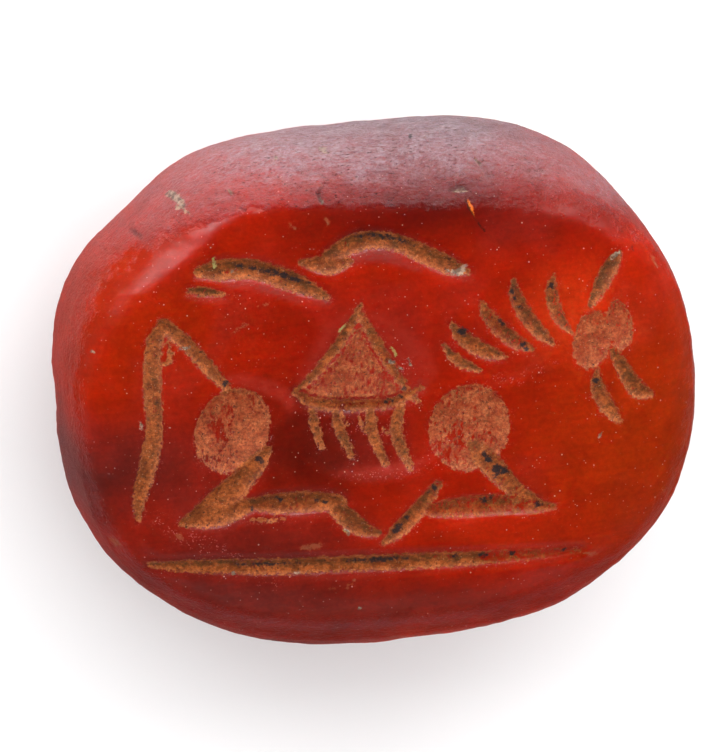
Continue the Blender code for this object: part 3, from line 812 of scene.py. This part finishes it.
def worn_skin(places, height, beyond, ragged):
    """Where the face gives way to the worn side, how frosted that is with its painted sheen, and the frosted
    edge with its painted highlight.
    """
    angle = np.arctan2(places[:, 1], places[:, 0])
    width = CRISP_EDGE + around(angle, EDGE_SOFTNESS)
    beyond = beyond + ragged * around(angle, RAGGED_EDGE)
    skin = ease(0.5 + (beyond - around(angle, SKIN_START)) / width)
    skin = np.maximum(skin, ease((8.6 - height) / 1.6))
    # the frost and its painted sheen are thin along the edge, thickest round the widest part, and fade
    # towards the dome
    sheen_frost = np.clip(around(angle, SHEEN_FROSTED), 0.0, THICKEST_SHEEN_FROST)
    sheen_frost *= RIDGE_SHEEN_FROST + (1.0 - RIDGE_SHEEN_FROST) * ease((beyond - 0.1) / 1.1)
    # the painted sheen grows towards the outline
    sheen_frost *= 1.0 + 0.22 * ease((beyond - 0.9) / 0.9)
    sheen_frost += around(angle, CORNER_SHEEN_FROST) * ease((beyond - 0.3) / 0.8)
    sheen_frost *= 0.30 + 0.70 * ease((height - 2.0) / 4.0)
    # the frosted edge and its painted highlight
    haze = around(angle, EDGE_FROST_HIGHLIGHT) * np.exp(-(((beyond - 0.15) / EDGE_HAZE_WIDTH) ** 2))
    dull = around(angle, DULL_EDGE) * np.exp(-(((beyond - 0.05) / 0.35) ** 2))
    upper = height > EDGE_LEVEL
    return {
        "skin": skin, "sheen_frost": sheen_frost, "toothed": LEAST_TOOTH + around(angle, TOOTHED),
        "edge_frost_highlight": np.where(upper, haze, 0.0), "dull": np.where(upper, dull, 0.0),
    }


def fit_to_frame(mesh):
    """Stone units to metres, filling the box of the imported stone."""
    points = np.empty(len(mesh.vertices) * 3, np.float32)
    mesh.vertices.foreach_get("co", points)
    points = points.reshape(-1, 3).astype(float)
    low, high = (np.array(corner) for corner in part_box("seal_stone"))
    own_low, own_high = points.min(axis=0), points.max(axis=0)
    points = low + (points - own_low) / (own_high - own_low) * (high - low)
    mesh.vertices.foreach_set("co", points.astype(np.float32).ravel())
    mesh.update()


# ---------------------------------------------------------------- materials


def add(tree, kind, inputs=(), **settings):
    """A shader node with its settings, and its inputs linked or set."""
    made = tree.nodes.new("ShaderNode" + kind)
    for key, value in settings.items():
        setattr(made, key, value)
    for key, value in dict(inputs).items():
        if isinstance(value, bpy.types.NodeSocket):
            tree.links.new(value, made.inputs[key])
        else:
            made.inputs[key].default_value = value
    return made


def maths(tree, operation, first, second=0.0, third=0.0):
    return add(tree, "Math", {0: first, 1: second, 2: third}, operation=operation).outputs[0]


def ramp(tree, value, low, high, start=0.0, end=1.0):
    """A soft step: start where the value is low, end where it is high."""
    inputs = {"Value": value, "From Min": low, "From Max": high, "To Min": start, "To Max": end}
    return add(tree, "MapRange", inputs, interpolation_type="SMOOTHSTEP").outputs[0]


def blend(tree, share, first, second):
    return add(tree, "Mix", {0: share, 6: first, 7: second}, data_type="RGBA").outputs[2]


def blend_value(tree, share, first, second):
    return add(tree, "Mix", {0: share, 2: first, 3: second}, data_type="FLOAT").outputs[0]


def times(tree, first, *others):
    """The product of two or more values."""
    for other in others:
        first = maths(tree, "MULTIPLY", first, other)
    return first


def vector(tree, operation, first, second):
    return add(tree, "VectorMath", {0: first, 1: second}, operation=operation).outputs[0]


def grain(tree, place, scale, detail=2.0, roughness=0.5):
    inputs = {"Vector": place, "Scale": scale, "Detail": detail, "Roughness": roughness}
    return add(tree, "TexNoise", inputs).outputs["Fac"]


def varied(tree, place, texture, low, high, start=0.0, end=1.0):
    """A grain, given by its scale, detail and roughness, with its low and high values spread apart."""
    return ramp(tree, grain(tree, place, *texture), low, high, start, end)


def attribute(tree, name):
    return add(tree, "Attribute", attribute_name=name).outputs["Fac"]


def stretched(tree, place, scale, turn=0.0):
    """The place turned about the upright axis and then stretched, for streaks and scratches."""
    turned = add(tree, "Mapping", {"Vector": place, "Rotation": (0.0, 0.0, math.radians(turn))})
    return vector(tree, "MULTIPLY", turned.outputs[0], scale)


def soft_patch(tree, place, middle, size):
    """One at the middle of a soft egg-shaped patch, nothing beyond its size."""
    scaled = vector(tree, "DIVIDE", vector(tree, "SUBTRACT", place, middle), size)
    reach = add(tree, "VectorMath", {0: scaled}, operation="LENGTH").outputs["Value"]
    return ramp(tree, reach, 1.0, 0.15)


def dots(tree, place, scale, size):
    """Small round dots at uneven places."""
    near = add(tree, "TexVoronoi", {"Vector": place, "Scale": scale, "Randomness": 1.0}).outputs["Distance"]
    return ramp(tree, near, size, size * 0.5)


# Soft clouds of colour in the stone, partly its own zoning and partly painted glow and shade: middle and
# size in millimetres, colour, and strength.
STONE_GROUND = (0.385, 0.0125, 0.0008, 1)
STONE_CLOUDS = (
    # The glows on the right, left, middle, legs, mane and low front are painted glow of light through the
    # stone; the dark band under the top edge is painted shade.
    ("glow_right", (8.8, -1.5, 8.5), (7.0, 6.8, 8.0), (0.40, 0.028, 0.0010, 1), 1.0),
    ("edge_right", (10.4, -2.0, 8.0), (2.4, 6.0, 6.0), (0.25, 0.022, 0.0010, 1), 0.75),
    ("glow_left", (-8.0, 3.2, 8.5), (5.0, 4.4, 7.0), (0.37, 0.017, 0.0005, 1), 1.0),
    ("glow_middle", (1.4, 2.8, 9.5), (3.4, 1.5, 5.0), (0.40, 0.0110, 0.0008, 1), 0.25),
    ("crimson_middle", (-1.0, 1.9, 9.5), (3.8, 2.2, 5.0), (0.26, 0.0065, 0.0010, 1), 0.9),
    ("dark_heart", (-2.2, -0.9, 9.0), (4.6, 3.0, 6.0), (0.095, 0.0050, 0.002, 1), 0.85),
    ("glow_legs", (3.4, -4.2, 9.0), (3.4, 1.5, 4.0), (0.50, 0.022, 0.0020, 1), 0.8),
    ("dark_left", (-8.6, -1.4, 8.0), (6.8, 2.8, 7.0), (0.140, 0.0140, 0.0100, 1), 1.0),
    ("dark_low_left", (-4.8, -4.7, 8.0), (6.5, 3.2, 7.0), (0.145, 0.014, 0.010, 1), 0.95),
    ("dark_low", (-0.5, -6.8, 8.0), (7.0, 2.8, 6.0), (0.18, 0.012, 0.005, 1), 0.75),
    ("glow_low", (2.3, -8.0, 7.9), (6.2, 2.0, 3.4), (0.54, 0.026, 0.0030, 1), 0.95),
    ("shade_under_ridge", (1.2, 6.0, 9.5), (7.0, 2.1, 5.0), (0.14, 0.0035, 0.0012, 1), 0.9),
    ("glow_mane", (5.8, 2.4, 9.5), (3.2, 2.2, 4.0), (0.64, 0.042, 0.0050, 1), 0.8),
    ("dark_corner", (6.7, 5.5, 9.0), (2.6, 1.7, 4.0), (0.19, 0.0060, 0.0020, 1), 0.6),
    ("mauve_crown", (2.0, 9.2, 6.5), (9.6, 3.9, 7.0), (0.055, 0.0130, 0.0190, 1), 1.0),
)

# The worn and broken stone, with painted sheen on its frost, painted shade in creases and pits, and painted
# highlights and glints.
SHEEN_FROST_TINT = (0.51, 0.365, 0.41, 1)
SHEEN_FROST_SHARE = 0.40
CREASE_SHADE_TINT = (0.150, 0.016, 0.020, 1)
PIT_SHADE_TINT = (0.085, 0.008, 0.009, 1)
EDGE_HIGHLIGHT_TINT = (0.60, 0.36, 0.42, 1)
PALE_LIT_TINT = (0.46, 0.038, 0.022, 1)
MAUVE_LIT_TINT = (0.27, 0.044, 0.034, 1)
CLOUDY_TINT = (0.50, 0.075, 0.070, 1)
DUST_TINT = (0.80, 0.50, 0.46, 1)
GLINT_TINT = (0.75, 0.24, 0.23, 1)

# Dried earth in the drilled rounds and in the lines, from its darker to its lighter clouds.
TAN_EARTH = ((0.29, 0.055, 0.015, 1), (0.45, 0.110, 0.036, 1))
BROWN_EARTH = ((0.19, 0.043, 0.008, 1), (0.41, 0.100, 0.022, 1))
EARTH_BORDER = (0.44, 0.125, 0.040, 1)
EARTH_DIRT_AND_SHADE = (0.090, 0.034, 0.009, 1)
PALE_GRAINS = (0.60, 0.32, 0.18, 1)
DARK_GRAINS = (0.05, 0.018, 0.010, 1)

# Small marks, in the order they lie on each other: how ragged, where the edge starts and ends, strength,
# and one colour or two clouded ones.
MARK_FINISHES = (
    ("smudge", 1.0, -0.03, 0.06, 0.60, (0.38, 0.125, 0.055, 1)),
    ("yellow_crust", 0.7, -0.01, 0.03, 0.85, (0.46, 0.40, 0.14, 1)),
    ("crust", 0.7, -0.01, 0.03, 0.85, (0.17, 0.115, 0.085, 1), (0.50, 0.35, 0.25, 1)),
    ("scar", 0.7, 0.00, 0.06, 0.60, (0.12, 0.012, 0.010, 1)),
    # The black grains are dirt; the dark streaks with them are partly painted shade.
    ("grit_and_shade", 1.0, -0.04, 0.05, 0.92, (0.020, 0.016, 0.018, 1)),
    # the crack's orange is a painted glint
    ("flaw", 0.7, -0.01, 0.03, 1.00, (0.78, 0.20, 0.025, 1)),
    ("dark_flaw", 0.7, -0.01, 0.03, 0.90, (0.07, 0.008, 0.005, 1)),
)


def stone_colour(tree, place):
    """Clear carnelian: the clouds of colour with drifting borders, partly painted glow and shade, faint
    haze, mottling and banding.
    """
    drift = add(tree, "TexNoise", {"Vector": place, "Scale": 0.33, "Detail": 2.0}).outputs["Color"]
    drift = vector(tree, "SUBTRACT", drift, (0.5, 0.5, 0.5))
    drift = vector(tree, "MULTIPLY", drift, (2.4, 2.4, 2.4))
    drifted = vector(tree, "ADD", place, drift)
    colour = STONE_GROUND
    for name, middle, size, tint, strength in STONE_CLOUDS:
        colour = blend(tree, times(tree, soft_patch(tree, drifted, middle, size), strength), colour, tint)
    haze = varied(tree, place, (0.45, 3.0), 0.48, 0.68, 0.0, 0.06)
    colour = blend(tree, haze, colour, CLOUDY_TINT)
    mottle = varied(tree, place, (1.1, 3.0), 0.35, 0.65, 0.90, 1.08)
    speckle = varied(tree, place, (7.0, 4.0, 0.7), 0.30, 0.70, 0.88, 1.14)
    along = stretched(tree, place, (0.5, 9.0, 1.0), -4.0)
    banding = varied(tree, along, (1.0, 2.0), 0.35, 0.65, 0.96, 1.04)
    return vector(tree, "MULTIPLY", colour, times(tree, mottle, speckle, banding))


def side_textures(tree, place):
    """The worn skin of the sides: where it is, its wrinkles, tooth and pits, and how deep they are."""
    uneven = varied(tree, place, (2.2, 4.0), 0.3, 0.7, -0.16, 0.16)
    uneven = maths(tree, "ADD", uneven, varied(tree, place, (8.0, 3.0, 0.7), 0.3, 0.7, -0.09, 0.09))
    skin = ramp(tree, maths(tree, "ADD", attribute(tree, "skin"), uneven), 0.15, 0.90)
    return {
        "skin": skin,
        "wrinkle": grain(tree, stretched(tree, place, (3.2, 6.0, 6.0)), 1.0, 5.0, 0.68),
        "tooth": grain(tree, place, 9.0, 3.0, 0.7),
        "pitted": varied(tree, stretched(tree, place, (6.5, 10.5, 10.5)), (1.0, 3.0, 0.6), 0.42, 0.30),
        "toothed": times(tree, attribute(tree, "toothed"), skin),
    }


def frosting(tree, place, side):
    """How thickly the skin is frosted, with the painted sheen of the light on it."""
    wrinkled = ramp(tree, side["wrinkle"], 0.34, 0.66, 0.70, 1.26)
    toothed = ramp(tree, side["tooth"], 0.32, 0.68, 0.62, 1.30)
    patchy = varied(tree, place, (1.6, 4.0, 0.65), 0.35, 0.65, 0.84, 1.14)
    return times(tree, attribute(tree, "sheen_frost"), wrinkled, toothed, patchy, side["skin"], SHEEN_FROST_SHARE)


def worn_side(tree, place, side, sheen_frost, colour):
    """Frost with painted sheen, painted shade in the creases and pits of the skin, and the painted highlight
    on the frosted edge of the face.
    """
    colour = blend(tree, sheen_frost, colour, SHEEN_FROST_TINT)
    # painted shade in the creases and pits of the skin
    across = stretched(tree, place, (3.0, 9.0, 9.0))
    crease_shade = varied(tree, across, (1.0, 4.0, 0.6), 0.40, 0.33, 0.0, 0.45)
    colour = blend(tree, times(tree, crease_shade, side["toothed"]), colour, CREASE_SHADE_TINT)
    colour = blend(tree, times(tree, side["pitted"], side["toothed"], 0.85), colour, PIT_SHADE_TINT)
    # the painted highlight along the frosted edge of the face
    haze = ramp(tree, side["tooth"], 0.30, 0.65, 0.08, 0.16)
    return blend(tree, times(tree, attribute(tree, "edge_frost_highlight"), haze), colour, EDGE_HIGHLIGHT_TINT)


def pale_walls(tree, side, colour):
    """Painted highlights: the pale lit wall of the hollow, on paler ground stone, and the mauve lit lips of
    the wings.
    """
    wall = ramp(tree, side["wrinkle"], 0.34, 0.66, 0.35, 0.70)
    colour = blend(tree, times(tree, attribute(tree, "pale_lit_wall"), wall), colour, PALE_LIT_TINT)
    lip = ramp(tree, side["wrinkle"], 0.34, 0.66, 0.45, 0.85)
    return blend(tree, times(tree, attribute(tree, "mauve_lit_lip"), lip), colour, MAUVE_LIT_TINT)


def dust_and_glints(tree, place, colour):
    """Dust, and the painted glints where the polish is broken."""
    strewn = varied(tree, place, (1.4, 2.0), 0.45, 0.60, 0.1, 0.75)
    dust = times(tree, dots(tree, place, 2.6, 0.075), strewn)
    strewn = varied(tree, place, (1.9, 2.0), 0.44, 0.62, 0.05, 0.60)
    fine_dust = times(tree, dots(tree, place, 5.5, 0.13), strewn)
    colour = blend(tree, maths(tree, "MAXIMUM", dust, fine_dust), colour, DUST_TINT)
    glints = times(tree, dots(tree, place, 14.0, 0.36), varied(tree, place, (4.0, 2.0), 0.44, 0.58))
    return blend(tree, times(tree, attribute(tree, "glint"), glints, 0.45), colour, GLINT_TINT)


def earth_cover(tree, place, depth_in):
    """Where earth still hides the stone in the cuts: it has fallen out in streaks and specks."""
    in_cut = ramp(tree, depth_in, -0.015, 0.025)
    bare = attribute(tree, "bare")
    streaks = grain(tree, stretched(tree, place, (8.5, 4.2, 6.0), 8.0), 1.0, 5.0, 0.72)
    streaks = maths(tree, "MULTIPLY_ADD", grain(tree, place, 1.0, 2.0), 0.30, times(tree, streaks, 0.70))
    gaps = ramp(tree, maths(tree, "MULTIPLY_ADD", bare, -0.19, streaks), 0.385, 0.330, 0.0, 0.90)
    specks = varied(tree, place, (10.0, 3.0, 0.7), 0.37, 0.32, 0.0, 0.6)
    film = times(tree, bare, varied(tree, place, (2.8, 4.0), 0.35, 0.62, 0.0, 0.55))
    solid = maths(tree, "SUBTRACT", 1.0, maths(tree, "MAXIMUM", gaps, specks))
    return times(tree, in_cut, solid, maths(tree, "SUBTRACT", 1.0, film))


def earth_colour(tree, place, depth_in):
    """Dried earth: pinkish tan in the rounds, browner in the lines and dark at their heart with dirt and
    painted shade, with grains.
    """
    cloud = varied(tree, place, (2.4, 4.0, 0.6), 0.34, 0.66)
    brown = blend(tree, cloud, *BROWN_EARTH)
    body = blend(tree, attribute(tree, "drilled"), brown, blend(tree, cloud, *TAN_EARTH))
    border = times(tree, ramp(tree, depth_in, 0.12, 0.03), varied(tree, place, (3.4, 2.0), 0.32, 0.58), 0.65)
    body = blend(tree, border, body, EARTH_BORDER)
    body = vector(tree, "MULTIPLY", body, varied(tree, place, (10.0, 4.0, 0.75), 0.34, 0.66, 0.60, 1.40))
    # dark dirt with painted shade, most on the upper side of the lines
    dirt_and_shade = grain(tree, stretched(tree, place, (3.0, 5.5, 4.0), 10.0), 1.0, 5.0, 0.68)
    dirt_and_shade = maths(tree, "MULTIPLY_ADD", dirt_and_shade, 2.8, attribute(tree, "heart"))
    body = blend(tree, ramp(tree, dirt_and_shade, 1.62, 2.48, 0.0, 0.92), body, EARTH_DIRT_AND_SHADE)
    body = blend(tree, varied(tree, place, (17.0, 1.0), 0.68, 0.76, 0.0, 0.45), body, PALE_GRAINS)
    return blend(tree, varied(tree, place, (8.5, 3.0, 0.6), 0.385, 0.32, 0.0, 0.85), body, DARK_GRAINS)


def small_marks(tree, place, ragged, colour):
    """The smudges, crusts, scars, black grains and dark streaks with painted shade, and the crack with its
    painted glint, each with a ragged edge.
    """
    clouds = varied(tree, place, (6.0, 2.0), 0.4, 0.6)
    for name, raggedness, low, high, strength, *tints in MARK_FINISHES:
        inside = maths(tree, "MULTIPLY_ADD", ragged, raggedness, attribute(tree, name))
        tint = blend(tree, clouds, *tints) if len(tints) == 2 else tints[0]
        colour = blend(tree, times(tree, ramp(tree, inside, low, high), strength), colour, tint)
    return colour


def relief(tree, place, side, unpolished, cover):
    """Heights in millimetres: the skin's wrinkles and pits, faint scratches on the face, rough earth."""
    wrinkles = maths(tree, "MULTIPLY_ADD", side["tooth"], 0.080, times(tree, side["wrinkle"], 0.17))
    wrinkles = maths(tree, "ADD", wrinkles, times(tree, side["pitted"], -0.030))
    height = times(tree, side["toothed"], wrinkles)
    scratches = varied(tree, stretched(tree, place, (0.35, 9.0, 1.0), -9.0), (1.0, 2.0), 0.55, 0.66)
    height = maths(tree, "MULTIPLY_ADD", scratches, -0.0010, height)
    height = maths(tree, "MULTIPLY_ADD", grain(tree, place, 2.6, 4.0), 0.005, height)
    ground = times(tree, grain(tree, place, 7.0, 4.0, 0.65), unpolished)
    height = maths(tree, "MULTIPLY_ADD", ground, 0.022, height)
    earth = times(tree, grain(tree, place, 9.0, 3.0, 0.6), cover)
    return maths(tree, "MULTIPLY_ADD", earth, 0.024, height)


def gloss(tree, place, side, unpolished, cover):
    """Roughness: polished on the face, satin on the skin, dull along its edge and on the earth."""
    satin = maths(tree, "MAXIMUM", times(tree, side["skin"], 0.7), unpolished)
    roughness = maths(tree, "MULTIPLY_ADD", satin, 0.13, 0.27)
    roughness = maths(tree, "MULTIPLY_ADD", grain(tree, place, 1.7, 3.0), 0.06, roughness)
    roughness = maths(tree, "MULTIPLY_ADD", attribute(tree, "dull"), 0.22, roughness)
    return blend_value(tree, cover, roughness, 0.85)


def carnelian():
    """Worn carnelian with earth in its cuts, on Object coordinates in millimetres."""
    material = bpy.data.materials.new("carnelian")
    material.use_nodes = True
    tree = material.node_tree
    place = vector(tree, "MULTIPLY", add(tree, "TexCoord").outputs["Object"], (1 / MM, 1 / MM, 1 / MM))
    side = side_textures(tree, place)
    sheen_frost = frosting(tree, place, side)
    ragged = varied(tree, place, (7.0, 4.0, 0.70), 0.25, 0.75, -0.075, 0.075)
    depth_in = maths(tree, "ADD", attribute(tree, "cut"), ragged)
    cover = earth_cover(tree, place, depth_in)
    unpolished = attribute(tree, "unpolished")

    colour = worn_side(tree, place, side, sheen_frost, stone_colour(tree, place))
    colour = dust_and_glints(tree, place, pale_walls(tree, side, colour))
    colour = blend(tree, cover, colour, earth_colour(tree, place, depth_in))
    colour = small_marks(tree, place, ragged, colour)
    heights = {"Height": relief(tree, place, side, unpolished, cover), "Distance": MM, "Strength": 1.0}
    seen_through = maths(tree, "MULTIPLY_ADD", sheen_frost, -1.3, 1.0)

    shader = tree.nodes["Principled BSDF"]
    tree.links.new(colour, shader.inputs["Base Color"])
    tree.links.new(gloss(tree, place, side, unpolished, cover), shader.inputs["Roughness"])
    tree.links.new(add(tree, "Bump", heights).outputs["Normal"], shader.inputs["Normal"])
    tree.links.new(blend_value(tree, cover, seen_through, 0.1), shader.inputs["Subsurface Weight"])
    shader.inputs["Subsurface Radius"].default_value = (1.0, 0.12, 0.06)
    shader.inputs["Subsurface Scale"].default_value = 0.0022
    shader.inputs["Specular IOR Level"].default_value = 0.45
    shader.inputs["Sheen Weight"].default_value = 0.13
    shader.inputs["Sheen Roughness"].default_value = 0.35
    shader.inputs["Sheen Tint"].default_value = (1.0, 0.86, 0.86, 1.0)
    return material


# ---------------------------------------------------------------- floor, light and camera


FLOOR_HALF_SIZE = 1.5


def pale_floor():
    shape = bmesh.new()
    bmesh.ops.create_grid(shape, x_segments=1, y_segments=1, size=FLOOR_HALF_SIZE)
    mesh = bpy.data.meshes.new("floor")
    shape.to_mesh(mesh)
    shape.free()
    floor = bpy.data.objects.new("floor", mesh)
    floor.visible_glossy = False
    bpy.context.scene.collection.objects.link(floor)
    material = bpy.data.materials.new("pale_floor")
    material.use_nodes = True
    shader = material.node_tree.nodes["Principled BSDF"]
    shader.inputs["Base Color"].default_value = (0.90, 0.90, 0.905, 1)
    shader.inputs["Roughness"].default_value = 0.9
    shader.inputs["Specular IOR Level"].default_value = 0.0
    mesh.materials.append(material)
    return floor


def softbox(name, azimuth, elevation, distance, width, height, radiance, mirrored, scattered):
    """A flat light turned to the stone; azimuth 0 is the +Y side and 90 the +X side."""
    light = bpy.data.lights.new(name, "AREA")
    light.shape = "RECTANGLE"
    light.size = width
    light.size_y = height
    light.energy = radiance * math.pi * width * height
    lamp = bpy.data.objects.new(name, light)
    turn, lift = math.radians(azimuth), math.radians(elevation)
    way = Vector((math.sin(turn) * math.cos(lift), math.cos(turn) * math.cos(lift), math.sin(lift)))
    lamp.location = way * distance + LIT_POINT
    lamp.rotation_euler = way.to_track_quat("Z", "Y").to_euler()
    lamp.visible_camera = False
    lamp.visible_glossy = mirrored
    lamp.visible_diffuse = scattered
    bpy.context.scene.collection.objects.link(lamp)
    return lamp


WORLD_LIGHT = 0.02
BACKDROP = (0.95, 0.95, 0.95, 1)
LIT_POINT = Vector((0.0, 0.0, 0.008))

# Name, azimuth, elevation, distance, width, height and radiance of each light, and whether the polish
# mirrors it and the stone scatters it.
SOFTBOXES = (
    ("gleam_strip", 0, 15, 0.60, 1.00, 0.20, 12.0, True, False),
    ("high_gleam", -14, 41, 0.60, 0.44, 0.26, 0.55, True, False),
    ("front_gleam", 180, 30, 0.60, 0.90, 0.30, 0.32, True, False),
    ("overhead_gleam", 0, 69, 0.60, 0.40, 0.16, 0.12, True, False),
    ("back_strip", 0, 17, 0.60, 1.00, 0.22, 4.8, False, True),
    ("high_back", 0, 50, 0.60, 0.90, 0.40, 3.0, False, True),
    ("left_box", -95, 38, 0.60, 0.70, 0.40, 1.4, False, True),
    ("right_box", 95, 38, 0.60, 0.70, 0.40, 1.5, False, True),
    ("front_box", 180, 30, 0.60, 0.90, 0.30, 1.5, False, True),
)
TABLE_LIGHT = ("table_light", 72, 70, 0.80, 1.20, 1.20, 1.20, False, True)


def studio(floor):
    world = bpy.data.worlds.new("studio")
    world.use_nodes = True
    tree = world.node_tree
    seen = add(tree, "LightPath").outputs["Is Camera Ray"]
    colour = blend(tree, seen, (WORLD_LIGHT, WORLD_LIGHT, WORLD_LIGHT, 1), BACKDROP)
    tree.links.new(colour, tree.nodes["Background"].inputs["Color"])
    bpy.context.scene.world = world
    for values in SOFTBOXES:
        softbox(*values)
    # one more light falls on the table alone
    table = bpy.data.collections.new("table_only")
    table.objects.link(floor)
    softbox(*TABLE_LIGHT).light_linking.receiver_collection = table


# Where the camera stands: its lean from straight above towards +Y and -X, its roll, and its distance.
CAMERA_LEAN = math.radians(12.0)
CAMERA_SWING = math.radians(6.5)
CAMERA_ROLL = math.radians(3.0)
CAMERA_DISTANCE = 0.26
CAMERA_AIM = Vector((-0.00063, 0.00056, 0.008))
CAMERA_LENS = 398.3


def camera():
    data = bpy.data.cameras.new("camera")
    data.lens = CAMERA_LENS
    data.sensor_width = 36.0
    data.clip_start = 0.01
    data.clip_end = 10.0
    view = bpy.data.objects.new("camera", data)
    back = Vector((-math.tan(CAMERA_SWING), math.tan(CAMERA_LEAN), 1.0)).normalized()
    right = Vector((0.0, 1.0, 0.0)).cross(back).normalized()
    up = back.cross(right)
    turn = Matrix.Rotation(CAMERA_ROLL, 3, back).inverted()
    axes = Matrix((turn @ right, turn @ up, back)).transposed()
    view.matrix_world = Matrix.Translation(CAMERA_AIM + back * CAMERA_DISTANCE) @ axes.to_4x4()
    bpy.context.scene.collection.objects.link(view)
    bpy.context.scene.camera = view


# ---------------------------------------------------------------- the scene

mesh = shape_stone()
fit_to_frame(mesh)
mesh.shade_smooth()
mesh.materials.append(carnelian())
seal = bpy.data.objects.new("engraved_carnelian", mesh)
bpy.context.scene.collection.objects.link(seal)
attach(seal, "root")
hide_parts("seal_stone")

studio(pale_floor())
camera()
bpy.context.scene.view_settings.view_transform = "Standard"
